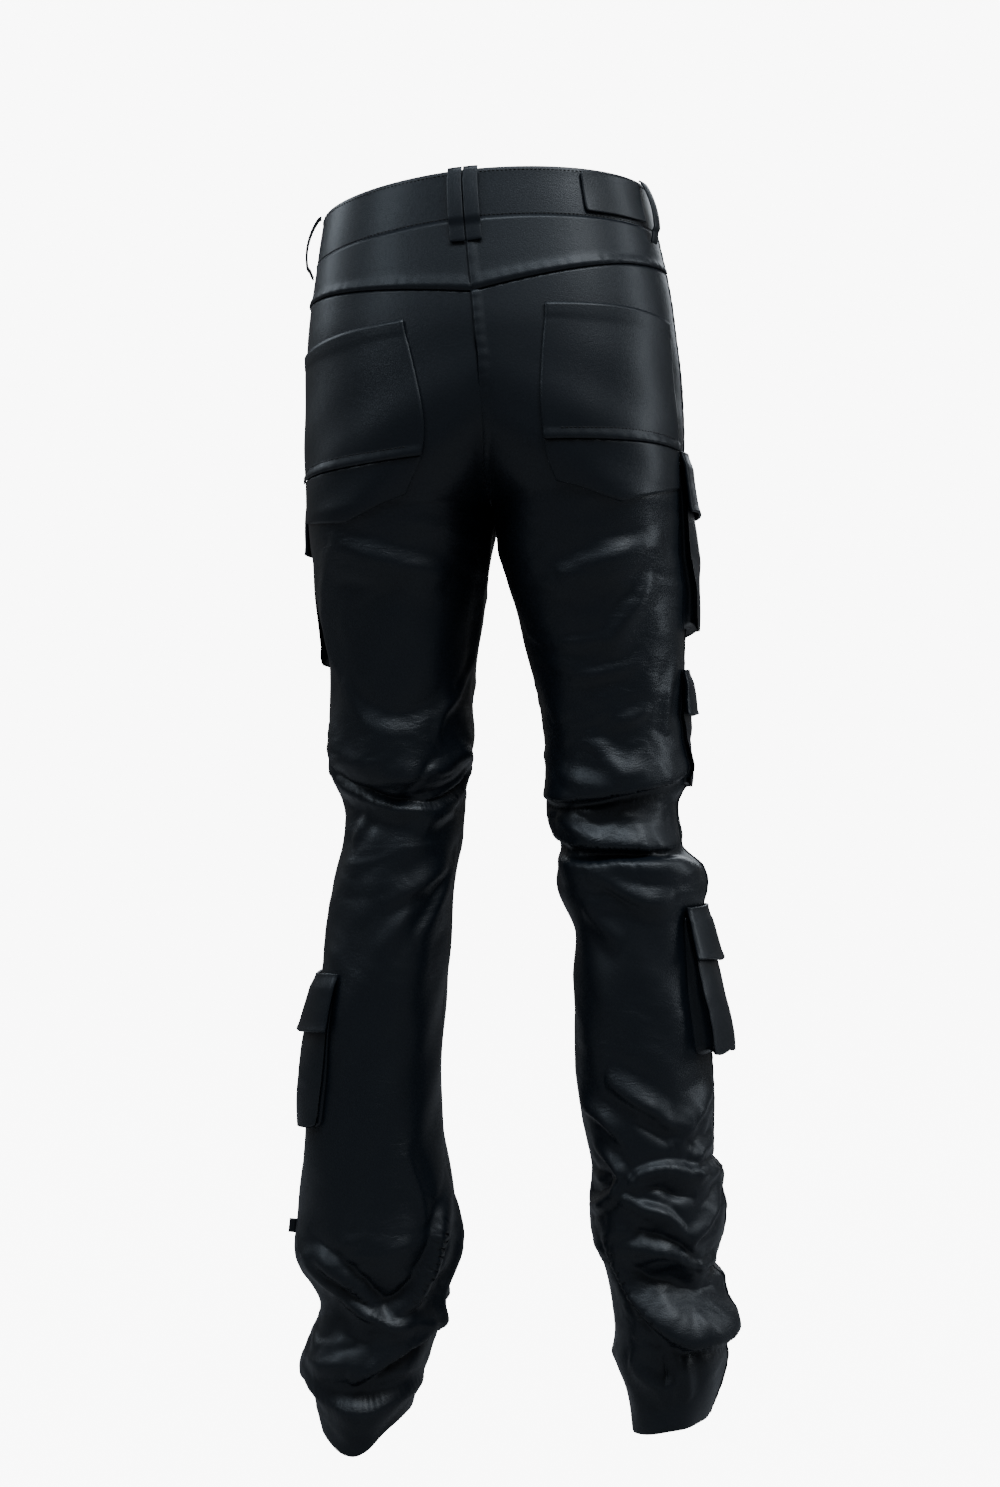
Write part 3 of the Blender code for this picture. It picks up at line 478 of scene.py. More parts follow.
master = {
    "columns": 181,
    "rows": 400,
    "closer": 0.9,           # rows stand closer by this much round the knee and the ankle
    "knee": (0.50, 0.07),    # place and reach
    "ankle": (0.90, 0.09),
    "calmFrom": 0.09,        # the swell of the leather eases in from here
}
middleColumn = master["columns"] // 2


# the whole worn surface of one side, folds included: columns run by share of the way from the
# side seam to the centre or inside seam (-1 front, 1 back), rows by drop
def wornSide(side):
    share = np.linspace(-1, 1, master["columns"])
    pace = np.linspace(0, 1, 2001)
    dense = np.ones(len(pace))
    for place, reach in (master["knee"], master["ankle"]):
        dense = dense + master["closer"] * np.exp(-((pace - place) / reach) ** 2)
    drops = np.interp(np.linspace(0, 1, master["rows"]), np.cumsum(dense) / np.sum(dense), pace)
    drops[0] = 0.0
    for key in ("bandDepth", "yokeDepth", "crotch"):
        drops[np.argmin(abs(drops - cut[key]))] = cut[key]
    end = np.arccos(-seamTurn(drops))
    angle = share[:, None] * end[None]
    drop = np.broadcast_to(drops[None], angle.shape)
    degrees = np.degrees(angle)
    points = plainSurface(side, angle, drop)
    out = gridNormals(points, side)
    rise = np.zeros(angle.shape)
    sag = np.zeros(angle.shape)
    for row in leftFolds if side > 0 else rightFolds:
        addFold(degrees, drop, rise, sag, row)
    addCreases(side, degrees, drop, rise, sag)
    rise = rise + gathers(side, degrees, drop)
    calm = np.clip((drop - master["calmFrom"]) / 0.10, 0, 1)
    rise = rise + swell(degrees, drop, side) * calm
    points = points + out * rise[..., None]
    points[..., 2] -= sag
    closed = drops >= cut["crotch"] - 1e-9
    joined = (points[0, closed] + points[-1, closed]) / 2
    points[0, closed] = joined
    points[-1, closed] = joined
    around = np.linalg.norm(np.diff(points, axis=0), axis=-1)
    arc = np.concatenate([np.zeros((1, len(drops))), np.cumsum(around, axis=0)])
    return {"share": share, "drops": drops, "end": end, "points": points,
            "normals": gridNormals(points, side), "arc": arc - arc[middleColumn], "rise": rise}


print("worn surface")
worn = {1: wornSide(1), -1: wornSide(-1)}
wordFor = {1: "left", -1: "right"}


# points on the worn surface at angles (degrees) and drops, moved out by a height:
# a blend of the sixteen grid points around each place, with cubic weights
def onCloth(side, degrees, drop, height=0.0):
    cloth = worn[side]
    degrees, drop = np.broadcast_arrays(np.asarray(degrees, float), np.asarray(drop, float))
    row = np.interp(drop, cloth["drops"], np.arange(len(cloth["drops"])))
    end = np.interp(drop, cloth["drops"], cloth["end"])
    column = (np.radians(degrees) / end + 1) / 2 * (len(cloth["share"]) - 1)
    column = np.clip(column, 0, len(cloth["share"]) - 1)
    i = np.clip(column.astype(int), 0, len(cloth["share"]) - 2)
    j = np.clip(row.astype(int), 0, len(cloth["drops"]) - 2)
    u = column - i
    v = row - j

    # weights of the four points around a place
    def weights(t):
        return (-0.5 * t**3 + t**2 - 0.5 * t, 1.5 * t**3 - 2.5 * t**2 + 1,
                -1.5 * t**3 + 2 * t**2 + 0.5 * t, 0.5 * t**3 - 0.5 * t**2)

    place = np.zeros(degrees.shape + (3,))
    normal = np.zeros(degrees.shape + (3,))
    for a, wa in enumerate(weights(u)):
        for b, wb in enumerate(weights(v)):
            ii = np.clip(i + a - 1, 0, len(cloth["share"]) - 1)
            jj = np.clip(j + b - 1, 0, len(cloth["drops"]) - 1)
            w = (wa * wb)[..., None]
            place += cloth["points"][ii, jj] * w
            normal += cloth["normals"][ii, jj] * w
    normal /= np.linalg.norm(normal, axis=-1, keepdims=True)
    return place + normal * np.asarray(height)[..., None], normal


# degrees of angle for a distance round the leg at a place
def degreesFor(side, degrees, drop, distance):
    a, _ = onCloth(side, degrees - 1.0, drop)
    b, _ = onCloth(side, degrees + 1.0, drop)
    return distance * 2.0 / np.linalg.norm(b - a, axis=-1)


scene = bpy.context.scene


# faces of a grid of columns by rows, counted along rows first
def gridFaces(columns, rows, flip):
    a = (np.arange(columns - 1)[:, None] * rows + np.arange(rows - 1)[None]).ravel()
    quads = np.stack([a, a + rows, a + rows + 1, a + 1], -1)
    return quads[:, ::-1] if flip else quads


# a piece from arrays: points, then one array of corners for each kind of face, all shaded smooth
def meshPiece(name, points, faces, material, extra=None):
    name = "sewn_" + name
    mesh = bpy.data.meshes.new(name)
    points = np.asarray(points, float).reshape(-1, 3)
    mesh.vertices.add(len(points))
    mesh.vertices.foreach_set("co", points.ravel())
    loops = np.concatenate([np.asarray(f).ravel() for f in faces])
    sizes = np.concatenate([np.full(len(f), np.asarray(f).shape[1]) for f in faces])
    mesh.loops.add(len(loops))
    mesh.loops.foreach_set("vertex_index", loops.astype(np.int32))
    mesh.polygons.add(len(sizes))
    mesh.polygons.foreach_set("loop_start", np.concatenate([[0], np.cumsum(sizes)[:-1]]).astype(np.int32))
    mesh.polygons.foreach_set("use_smooth", np.ones(len(sizes), bool))
    mesh.update(calc_edges=True)
    mesh.validate()
    for key, values in (extra or {}).items():
        rows = mesh.attributes.new(key, "FLOAT", "POINT").data
        rows.foreach_set("value", np.asarray(values, float).ravel())
    mesh.materials.append(material)
    thing = bpy.data.objects.new(name, mesh)
    scene.collection.objects.link(thing)
    return thing


# a wall grown inwards from the worked-out face
def thicken(thing, thickness):
    shell = thing.modifiers.new("thickness", "SOLIDIFY")
    shell.thickness = thickness
    shell.offset = -1.0
    shell.use_even_offset = False


# cut edges rounded where they turn by more than 50 degrees
def softenEdges(thing, width):
    soften = thing.modifiers.new("edges", "BEVEL")
    soften.width = width
    soften.segments = 2
    soften.angle_limit = math.radians(50)


# what a piece rides on and the nodes it stands for, which are hidden
def standFor(piece, *nodes, slot="leather"):
    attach(piece, "root")
    if nodes:
        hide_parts(*nodes)


# a node with its unlinked inputs set by name
def addNode(tree, kind, **inputs):
    node = tree.nodes.new(kind)
    for key, value in inputs.items():
        node.inputs[key.replace("_", " ")].default_value = value
    return node


# an empty node group with its sockets
def openGroup(name, ins, outs):
    tree = bpy.data.node_groups.new(name, "ShaderNodeTree")
    for label, value in ins:
        socket = tree.interface.new_socket(label, in_out="INPUT", socket_type="NodeSocketFloat")
        socket.default_value = value
    for label in outs:
        tree.interface.new_socket(label, in_out="OUTPUT", socket_type="NodeSocketFloat")
    return tree, tree.nodes.new("NodeGroupInput"), tree.nodes.new("NodeGroupOutput")


# one sum, product or other step between sockets and numbers
def mathNode(tree, operation, first, second=None, clamp=False):
    node = tree.nodes.new("ShaderNodeMath")
    node.operation = operation
    node.use_clamp = clamp
    for k, value in enumerate((first, second)):
        if value is None:
            continue
        if isinstance(value, (int, float)):
            node.inputs[k].default_value = value
        else:
            tree.links.new(value, node.inputs[k])
    return node.outputs[0]


grainShape = {
    "cellEvenness": 0.95,
    "cellSoftness": 0.55,
    "cellDepth": -0.09,
    "fineScale": 2600.0,
    "fineDepth": 0.035,
    "wrinkleScale": 55.0,
    "wrinkleSqueeze": (1.0, 1.0, 2.6),     # wrinkles run across the leg
    "wrinkleTurn": (0.25, 0.15, 0.0),
    "wrinkleSharp": 7.0,
    "wrinkleDepth": -0.35,
    "patchScale": 9.0,
    "polishScale": 34.0,
}


# pebbled hide: small rounded cells with a finer noise between them, long soft wrinkles where the
# leather is strained, and a slow patchy mask for polish
def buildHideGroup():
    s = grainShape
    tree, start, end = openGroup("hideGrain", (("Pebble Size", 0.0009), ("Wrinkle", 0.5), ("Strain", 0.0)),
                                 ("Height", "Polish"))
    place = tree.nodes.new("ShaderNodeTexCoord").outputs["Object"]
    scale = mathNode(tree, "DIVIDE", 1.0, start.outputs["Pebble Size"])
    cells = addNode(tree, "ShaderNodeTexVoronoi", Randomness=s["cellEvenness"])
    cells.feature = "SMOOTH_F1"
    cells.inputs["Smoothness"].default_value = s["cellSoftness"]
    tree.links.new(place, cells.inputs["Vector"])
    tree.links.new(scale, cells.inputs["Scale"])
    fine = addNode(tree, "ShaderNodeTexNoise", Scale=s["fineScale"], Detail=3.0, Roughness=0.6)
    tree.links.new(place, fine.inputs["Vector"])
    stretch = tree.nodes.new("ShaderNodeMapping")
    stretch.inputs["Scale"].default_value = s["wrinkleSqueeze"]
    stretch.inputs["Rotation"].default_value = s["wrinkleTurn"]
    tree.links.new(place, stretch.inputs["Vector"])
    lines = addNode(tree, "ShaderNodeTexNoise", Scale=s["wrinkleScale"], Detail=5.0, Roughness=0.55)
    lines.inputs["Distortion"].default_value = 0.7
    tree.links.new(stretch.outputs["Vector"], lines.inputs["Vector"])
    ridge = mathNode(tree, "ABSOLUTE", mathNode(tree, "SUBTRACT", lines.outputs["Fac"], 0.5))
    ridge = mathNode(tree, "MULTIPLY", ridge, s["wrinkleSharp"])
    ridge = mathNode(tree, "SUBTRACT", 1.0, ridge, clamp=True)
    slow = addNode(tree, "ShaderNodeTexNoise", Scale=s["patchScale"], Detail=3.0, Roughness=0.5)
    tree.links.new(place, slow.inputs["Vector"])
    patch = mathNode(tree, "MULTIPLY", mathNode(tree, "SUBTRACT", slow.outputs["Fac"], 0.38), 3.2, clamp=True)
    strain = mathNode(tree, "ADD", mathNode(tree, "MULTIPLY", start.outputs["Strain"], 0.8), 0.2, clamp=True)
    crease = mathNode(tree, "MULTIPLY", ridge, mathNode(tree, "MULTIPLY", strain, patch))
    crease = mathNode(tree, "MULTIPLY", crease, start.outputs["Wrinkle"])
    pebble = mathNode(tree, "MULTIPLY", cells.outputs["Distance"], s["cellDepth"])
    small = mathNode(tree, "MULTIPLY", fine.outputs["Fac"], s["fineDepth"])
    grain = mathNode(tree, "ADD", pebble, small)
    height = mathNode(tree, "ADD", grain, mathNode(tree, "MULTIPLY", crease, s["wrinkleDepth"]))
    tree.links.new(height, end.inputs["Height"])
    middle = addNode(tree, "ShaderNodeTexNoise", Scale=s["polishScale"], Detail=4.0, Roughness=0.6)
    tree.links.new(place, middle.inputs["Vector"])
    polish = mathNode(tree, "ADD", mathNode(tree, "MULTIPLY", patch, 0.5),
                      mathNode(tree, "MULTIPLY", middle.outputs["Fac"], 0.5), clamp=True)
    tree.links.new(polish, end.inputs["Polish"])
    return tree


hideGroup = buildHideGroup()


# a new material, its node tree and its shader
def openMaterial(name):
    material = bpy.data.materials.new(name)
    material.use_nodes = True
    return material, material.node_tree, material.node_tree.nodes["Principled BSDF"]


# roughness between two values by a mask
def setRoughness(tree, shader, mask, low, high):
    ramp = tree.nodes.new("ShaderNodeMapRange")
    ramp.inputs["To Min"].default_value = low
    ramp.inputs["To Max"].default_value = high
    tree.links.new(mask, ramp.inputs["Value"])
    tree.links.new(ramp.outputs["Result"], shader.inputs["Roughness"])


# leather: the hide group's polish mixes two blacks and sets the gloss, its height is the relief
def hideMaterial(name, look):
    material, tree, shader = openMaterial(name)
    hide = tree.nodes.new("ShaderNodeGroup")
    hide.node_tree = hideGroup
    hide.inputs["Pebble Size"].default_value = look["pebble"]
    hide.inputs["Wrinkle"].default_value = look["wrinkle"]
    strain = tree.nodes.new("ShaderNodeAttribute")
    strain.attribute_name = "strain"
    tree.links.new(strain.outputs["Fac"], hide.inputs["Strain"])
    colour = tree.nodes.new("ShaderNodeMix")
    colour.data_type = "RGBA"
    colour.inputs["A"].default_value = (*look["colour"], 1)
    colour.inputs["B"].default_value = (*look["worn"], 1)
    tree.links.new(hide.outputs["Polish"], colour.inputs["Factor"])
    tree.links.new(colour.outputs["Result"], shader.inputs["Base Color"])
    setRoughness(tree, shader, hide.outputs["Polish"], look["matt"], look["shiny"])
    bump = tree.nodes.new("ShaderNodeBump")
    bump.inputs["Distance"].default_value = look["relief"]
    bump.inputs["Strength"].default_value = 1.0
    tree.links.new(hide.outputs["Height"], bump.inputs["Height"])
    tree.links.new(bump.outputs["Normal"], shader.inputs["Normal"])
    shader.inputs["Coat Weight"].default_value = look["coat"]
    shader.inputs["Coat Roughness"].default_value = look["coatRough"]
    shader.inputs["Specular IOR Level"].default_value = 0.50
    return material


leatherLook = {
    "pebble": 0.0010,        # size of the grain
    "wrinkle": 0.6,
    "colour": (0.0014, 0.0048, 0.0095),
    "worn": (0.0040, 0.0078, 0.0130),      # where it is polished by wear
    "matt": 0.50,
    "shiny": 0.38,
    "relief": 0.0009,
    "coat": 0.08,
    "coatRough": 0.22,
}
panelLeather = hideMaterial("panelLeather", leatherLook)
pocketLeather = hideMaterial("pocketLeather", {**leatherLook, "colour": (0.0018, 0.0053, 0.0100)})
bandLeather = hideMaterial("bandLeather", {**leatherLook, "wrinkle": 0.5, "matt": 0.47})
patchLook = {**leatherLook, "pebble": 0.0013, "colour": (0.0045, 0.0066, 0.0088)}
patchLeather = hideMaterial("patchLeather", patchLook)


# thread or metal: one colour, its roughness broken up by a fine noise
def grainyMaterial(name, look):
    material, tree, shader = openMaterial(name)
    shader.inputs["Base Color"].default_value = (*look["colour"], 1)
    shader.inputs["Metallic"].default_value = look["metallic"]
    place = tree.nodes.new("ShaderNodeTexCoord").outputs["Object"]
    grain = addNode(tree, "ShaderNodeTexNoise", Scale=look["scale"], Detail=look["detail"])
    tree.links.new(place, grain.inputs["Vector"])
    setRoughness(tree, shader, grain.outputs["Fac"], *look["rough"])
    return material


threadLook = {
    "colour": (0.009, 0.009, 0.010),
    "metallic": 0.0,
    "scale": 3200.0,
    "detail": 2.0,
    "rough": (0.5, 0.75),
}
metalLook = {
    "colour": (0.24, 0.24, 0.25),
    "metallic": 1.0,
    "scale": 900.0,
    "detail": 4.0,
    "rough": (0.22, 0.42),
}
waxedThread = grainyMaterial("waxedThread", threadLook)
darkNickel = grainyMaterial("darkNickel", metalLook)


# the row of the worn surface nearest a drop
def rowAt(drop):
    return int(np.argmin(abs(worn[1]["drops"] - drop)))


# how hard the leather is folded: change of slope of the rise across the grid, 0 to 1
def strainOf(cloth):
    rise = cloth["rise"] * 1000
    bend = sum(abs(np.gradient(np.gradient(rise, axis=k), axis=k)) for k in (0, 1))
    for _ in range(6):
        beside = np.roll(bend, 1, 0) + np.roll(bend, -1, 0) + np.roll(bend, 1, 1) + np.roll(bend, -1, 1)
        bend = (bend + beside) / 5
    return np.clip(bend / 0.10, 0, 1)


# height of a lapped edge: full at the seam, easing to nothing over the lap's width, faintly puckered
def lapLift(distance, along, high, width=None):
    width = width or seamShape["lap"]
    share = np.clip(1 - distance / width, 0, 1)
    ease = share * share * (3 - 2 * share)
    ease = np.where(share > 0.35, 1 - (1 - ease) * 0.25, ease)
    pucker = 1 + 0.16 * np.sin(along * 560) + 0.10 * np.sin(along * 923 + 1.3)
    return high * ease * pucker


seamShape = {
    "lap": 0.0095,           # width of a lapped edge
    "sideLap": 0.007,
    "tuckFrom": 0.006,       # the under layer starts to move beneath the lap this far from its end
    "fade": 0.02,            # laps die out over this at the fork
    "forkAt": 0.262,
    "hemRound": 0.0011,
    "hemDepth": 0.024,
}


# the hem's turning: a half circle under the edge, then eight rows back up inside the leather
def hemTurn(outside, points, normals, drops):
    s = seamShape
    edge = outside[:, -1:]
    out = normals[:, -1:]
    turn = np.linspace(0.25, 1, 4)[None, :, None] * np.pi
    down = np.array([0, 0, -1.0])
    bend = edge + down * np.sin(turn) * s["hemRound"] - out * (1 - np.cos(turn)) * s["hemRound"]
    level = [np.argmin(abs(drops - (drops[-1] - u * s["hemDepth"]))) for u in np.linspace(0.1, 1, 8)]
    inside = points[:, level] - normals[:, level] * (2 * s["hemRound"] + 0.0008)
    return np.concatenate([outside, bend, inside], axis=1)


# a panel: the worn surface between two drops, from the side seam to the end seam, lifted where it
# laps over its neighbour and moved on beneath the lap where it lies under
def leatherPanel(node, side, isBack, fromDrop, toDrop, laps):
    s = seamShape
    cloth = worn[side]
    span = slice(middleColumn, None) if isBack else slice(0, middleColumn + 1)
    rows = slice(rowAt(fromDrop), rowAt(toDrop) + 1)
    points = cloth["points"][span, rows]
    normals = cloth["normals"][span, rows]
    arc = abs(cloth["arc"][span, rows])
    drops = np.broadcast_to(cloth["drops"][rows][None], arc.shape)
    fromEnd = arc.max(axis=0, keepdims=True) - arc
    fade = np.clip((laps.get("upTo", s["forkAt"]) - drops) / s["fade"], 0, 1)
    lift = np.zeros(arc.shape)
    if "bottom" in laps:
        lift = np.maximum(lift, lapLift(drops[0, -1] - drops, arc, laps["bottom"]))
    if "side" in laps:
        lift = np.maximum(lift, lapLift(arc, drops, laps["side"], s["sideLap"]))
    if "end" in laps:
        lift = np.maximum(lift, lapLift(fromEnd, drops, laps["end"]) * fade)
    outside = points + normals * lift[..., None]
    if "tuck" in laps:
        outside[..., 0] -= side * laps["tuck"] * np.clip(1 - fromEnd / s["tuckFrom"], 0, 1) * fade
    strain = strainOf(cloth)[span, rows]
    if toDrop == 1.0:
        outside = hemTurn(outside, points, normals, drops[0])
        strain = np.pad(strain, ((0, 0), (0, outside.shape[1] - strain.shape[1])))
    faces = gridFaces(*outside.shape[:2], side < 0)
    thing = meshPiece(node, outside, [faces], panelLeather, {"strain": strain})
    thicken(thing, cut["leather"])
    standFor(thing, node)
    return thing


print("panels")
for side, word in wordFor.items():
    laps = {"bottom": 0.0014, "upTo": 9.0, **({"end": 0.0013} if side < 0 else {"tuck": 0.0012})}
    node = "yoke_" + word
    leatherPanel(node, side, True, cut["bandDepth"], cut["yokeDepth"], laps)
    node = "back_" + word
    laps = {"end": 0.0014} if side < 0 else {"tuck": 0.0018}
    leatherPanel(node, side, True, cut["yokeDepth"], 1.0, laps)
    node = "front_" + word
    laps = {"side": 0.0009, **({"end": 0.0016} if side > 0 else {"tuck": 0.0018})}
    leatherPanel(node, side, False, cut["bandDepth"], 1.0, laps)


bandShape = {
    "thick": 0.0030,
    "stand": 0.0013,         # above the panels
    "lapAngle": 8.0,         # degrees by which the front end runs under
    "lapLift": 0.0030,
    "depth": 0.0425,
    "topRound": 0.0010,
    "crown": 0.0003,
}


# waistband: a folded strip carried round the waist; its profile is a flat band with a
# rounded top, given as drop and height above the leather
def waistband():
    s = bandShape
    rows = np.linspace(0, 1, 13)
    outer = np.stack([s["depth"] * (1 - rows) + s["topRound"] * rows, s["crown"] * np.sin(np.pi * rows)], -1)
    arc = np.linspace(0, np.pi, 7)[1:-1]
    top = np.stack([s["topRound"] * (1 - np.sin(arc)), -s["thick"] / 2 * (1 - np.cos(arc))], -1)
    inner = np.stack([s["topRound"] * (1 - rows) + s["depth"] * rows, np.full(13, -s["thick"])], -1)
    profile = np.concatenate([outer, top, inner])
    lap = np.linspace(-90 + s["lapAngle"], -90, 5)[:-1]
    left = np.linspace(-90, 90, 121)
    right = np.linspace(90, -90, 121)[1:]
    sides = np.concatenate([np.full(len(lap), -1), np.full(len(left), 1), np.full(len(right), -1)])
    degrees = np.concatenate([lap, left, right])
    overLap = s["lapLift"] * np.clip(1 - (left + 90) / 7, 0, 1) ** 1.5
    raised = np.concatenate([np.full(len(lap), s["lapLift"]), overLap, np.zeros(len(right))])
    points = np.zeros((len(degrees), len(profile), 3))
    for sign in (1, -1):
        mine = sides == sign
        height = profile[None, :, 1] + s["stand"] + raised[mine][:, None]
        points[mine] = onCloth(sign, degrees[mine][:, None], profile[None, :, 0], height)[0]
    columns, count = points.shape[:2]
    a = np.arange(columns - 1)[:, None] * count + np.arange(count)[None]
    b = np.arange(columns - 1)[:, None] * count + (np.arange(count) + 1)[None] % count
    faces = np.stack([a, b, b + count, a + count], -1).reshape(-1, 4)
    caps = [np.arange(count)[None, ::-1], (np.arange(count) + (columns - 1) * count)[None]]
    thing = meshPiece("waistband", points, [faces, *caps], bandLeather)
    softenEdges(thing, 0.0005)
    standFor(thing, "waistband", slot="band_leather")


print("waistband")
waistband()


# every run of stitches is a route of angles and drops; each stitch is a small arched capsule
stitchShape = {"pitch": 0.0034, "length": 0.0025, "radius": 0.00033}
stitchRuns = []


# a run of stitches: places at an even pitch along the route, each with two ends and a way out
def stitchRun(side, degrees, drops, height):
    degrees, drops = np.broadcast_arrays(np.asarray(degrees, float), np.asarray(drops, float))
    t = np.linspace(0, 1, len(degrees))
    fine = np.linspace(0, 1, 1200)
    angle = np.interp(fine, t, degrees)
    drop = np.interp(fine, t, drops)
    height = np.interp(fine, t, np.broadcast_to(height, degrees.shape))
    points, normals = onCloth(side, angle, drop, height)
    steps = np.concatenate([[0], np.cumsum(np.linalg.norm(np.diff(points, axis=0), axis=-1))])
    count = int(steps[-1] / stitchShape["pitch"])
    if count < 1:
        return
    at = (np.arange(count) + 0.5) * stitchShape["pitch"]
    half = stitchShape["length"] / 2

    # the place at a distance along the run
    def along(where):
        return np.stack([np.interp(where, steps, points[:, k]) for k in range(3)], -1)

    facing = np.stack([np.interp(at, steps, normals[:, k]) for k in range(3)], -1)
    stitchRuns.append((along(at - half), along(at + half), facing))


# every stitch as four rings of five points, low at its ends, all of them in one piece
def sewStitches():
    start = np.concatenate([r[0] for r in stitchRuns])
    end = np.concatenate([r[1] for r in stitchRuns])
    out = np.concatenate([r[2] for r in stitchRuns])
    forward = end - start
    forward /= np.linalg.norm(forward, axis=-1, keepdims=True)
    across = np.cross(out, forward)
    across /= np.linalg.norm(across, axis=-1, keepdims=True)
    ringAt = np.array([0.0, 0.2, 0.8, 1.0])
    fat = np.array([0.45, 1.0, 1.0, 0.45]) * stitchShape["radius"]
    arch = np.array([-0.9, 0.3, 0.3, -0.9]) * stitchShape["radius"]
    rings = len(ringAt)
    sides = 5
    turn = np.arange(sides) / sides * 2 * np.pi
    centre = start[:, None] + (end - start)[:, None] * ringAt[None, :, None]
    centre = centre + out[:, None] * arch[None, :, None]
    ring = (across[:, None, None] * np.cos(turn)[None, None, :, None]
            + out[:, None, None] * np.sin(turn)[None, None, :, None])
    points = centre[:, :, None] + ring * fat[None, :, None, None]
    count = len(start)
    base = np.arange(count)[:, None, None] * rings * sides
    row = np.arange(rings - 1)[None, :, None] * sides
    a = base + row + np.arange(sides)[None, None]
    b = base + row + (np.arange(sides) + 1)[None, None] % sides
    faces = np.stack([a, b, b + sides, a + sides], -1).reshape(-1, 4)
    low = base[:, 0] + np.arange(sides)[None, ::-1]
    high = base[:, 0] + (rings - 1) * sides + np.arange(sides)[None]
    thing = meshPiece("topstitching", points, [faces, low, high], waxedThread)
    standFor(thing)
    print("stitches", count)


# patch pockets on the seat: a grid inside the pocket's outline, standing on the panel
pocketShape = {
    "stand": 0.0018,
    "leather": 0.0013,
    "wide": 0.115,           # across and down, near enough, for the rows of stitches
    "tall": 0.135,
    "insets": (0.0022, 0.0078),
    "mouthHem": 0.0105,
    "seam": 0.0013,          # height of the raised seam
    1: {"outerAngle": 18.0, "top": (0.1195, 0.104), "innerTop": 69.0, "innerFoot": 100.0,
        "foot": (0.2525, 0.261, 0.244), "split": (0.2207, 0.2151)},
    -1: {"outerAngle": 15.0, "top": (0.122, 0.1025), "innerTop": 68.0, "innerFoot": 95.5,
         "foot": (0.2535, 0.265, 0.245), "split": (0.2232, 0.2121)},
}


# outline by share across u (0 outer edge, 1 inner edge) and share down v; the foot is a soft point
def pocketPlace(side, u, v):
    s = pocketShape[side]
    top = s["top"][0] + (s["top"][1] - s["top"][0]) * u
    low = np.clip(u / 0.60, 0, 1) ** 0.9
    up = np.clip((u - 0.60) / 0.40, 0, 1) ** 1.1
    foot = s["foot"][0] + (s["foot"][1] - s["foot"][0]) * low + (s["foot"][2] - s["foot"][1]) * up
    drop = top + (foot - top) * v
    inner = s["innerTop"] + (s["innerFoot"] - s["innerTop"]) * v**1.7
    return s["outerAngle"] + (inner - s["outerAngle"]) * u, drop


# share down at which the raised seam crosses the pocket
def pocketSplit(side, u):
    s = pocketShape[side]
    line = s["split"][0] + (s["split"][1] - s["split"][0]) * u
    top = pocketPlace(side, u, 0.0)[1]
    foot = pocketPlace(side, u, 1.0)[1]
    return (line - top) / (foot - top)


# two parts: the upper one laps over the lower one at the raised seam and is hemmed at its mouth
def seatPocket(side):
    s = pocketShape
    u = np.linspace(0, 1, 49)[:, None]
    split = pocketSplit(side, u)
    for part, rows in (("upper", 45), ("lower", 17)):
        v = np.linspace(0, 1, rows)[None]
        v = v * split if part == "upper" else split + (1 - split) * v
        height = np.full(v.shape, s["stand"])
        if part == "upper":
            height = height + lapLift((split - v) * 0.14, u * 0.12, s["seam"], 0.008)
            height = height + 0.0009 * np.clip(1 - v * 0.13 / 0.011, 0, 1) ** 0.5
        points, _ = onCloth(side, *pocketPlace(side, u, v), height)
        node = "pocket_" + part + "_" + wordFor[side]
        thing = meshPiece(node, points, [gridFaces(*points.shape[:2], side < 0)], pocketLeather)
        thicken(thing, s["leather"])
        standFor(thing, node, slot="pocket_leather")
    t = np.linspace(0, 1, 60)
    high = s["stand"] + 0.0001
    for inset in s["insets"]:
        ku = inset / s["wide"]
        kv = inset / s["tall"]
        for edge in (1 - ku, ku):
            stitchRun(side, *pocketPlace(side, edge, t * (1 - kv)), high)
        across = t * (1 - 2 * ku) + ku
        stitchRun(side, *pocketPlace(side, across, 1 - kv), high)
        stitchRun(side, *pocketPlace(side, across, pocketSplit(side, across) - kv), high + s["seam"])
    stitchRun(side, *pocketPlace(side, t, s["mouthHem"] / s["tall"]), high + 0.0003)


print("seat pockets")
seatPocket(1)
seatPocket(-1)


# cargo pockets: bellows bags with a flap
# side, back angle, front angle, mouth, foot, flap's edge, then how far it stands off at mouth and foot
cargoPockets = {
    "right_thigh": (-1, 12, -72, 0.232, 0.369, 0.272, 0.003, 0.012),
    "right_knee": (-1, 12, -72, 0.410, 0.497, 0.437, 0.002, 0.0060),
    "right_calf": (-1, 36, -50, 0.604, 0.718, 0.640, 0.004, 0.019),
    "left_thigh": (1, -12, -96, 0.232, 0.369, 0.274, 0.004, 0.013),
    "left_calf": (1, 58, -30, 0.636, 0.752, 0.674, 0.0015, 0.0065),
}
cargoShape = {
    "leather": 0.0013,
    "corner": 0.10,          # rounding of the lower corners, as a share of the bag
    "pleat": 0.0055,
    "crown": 0.0028,
    "wide": 0.12,            # across and down, near enough, for the pleats
    "tall": 0.13,
    "insets": (0.0022, 0.0075),
    "flapRise": 0.009,       # the flap is sewn this far above the mouth
    "flapSide": 0.003,       # and stands out this far at each side
    "flapLift": 0.0016,
    "flapThick": 0.0026,
    "flapSewn": 0.0008,      # height at its seam
    "flapDroop": 0.0015,
    "flapCurl": 0.0012,
}


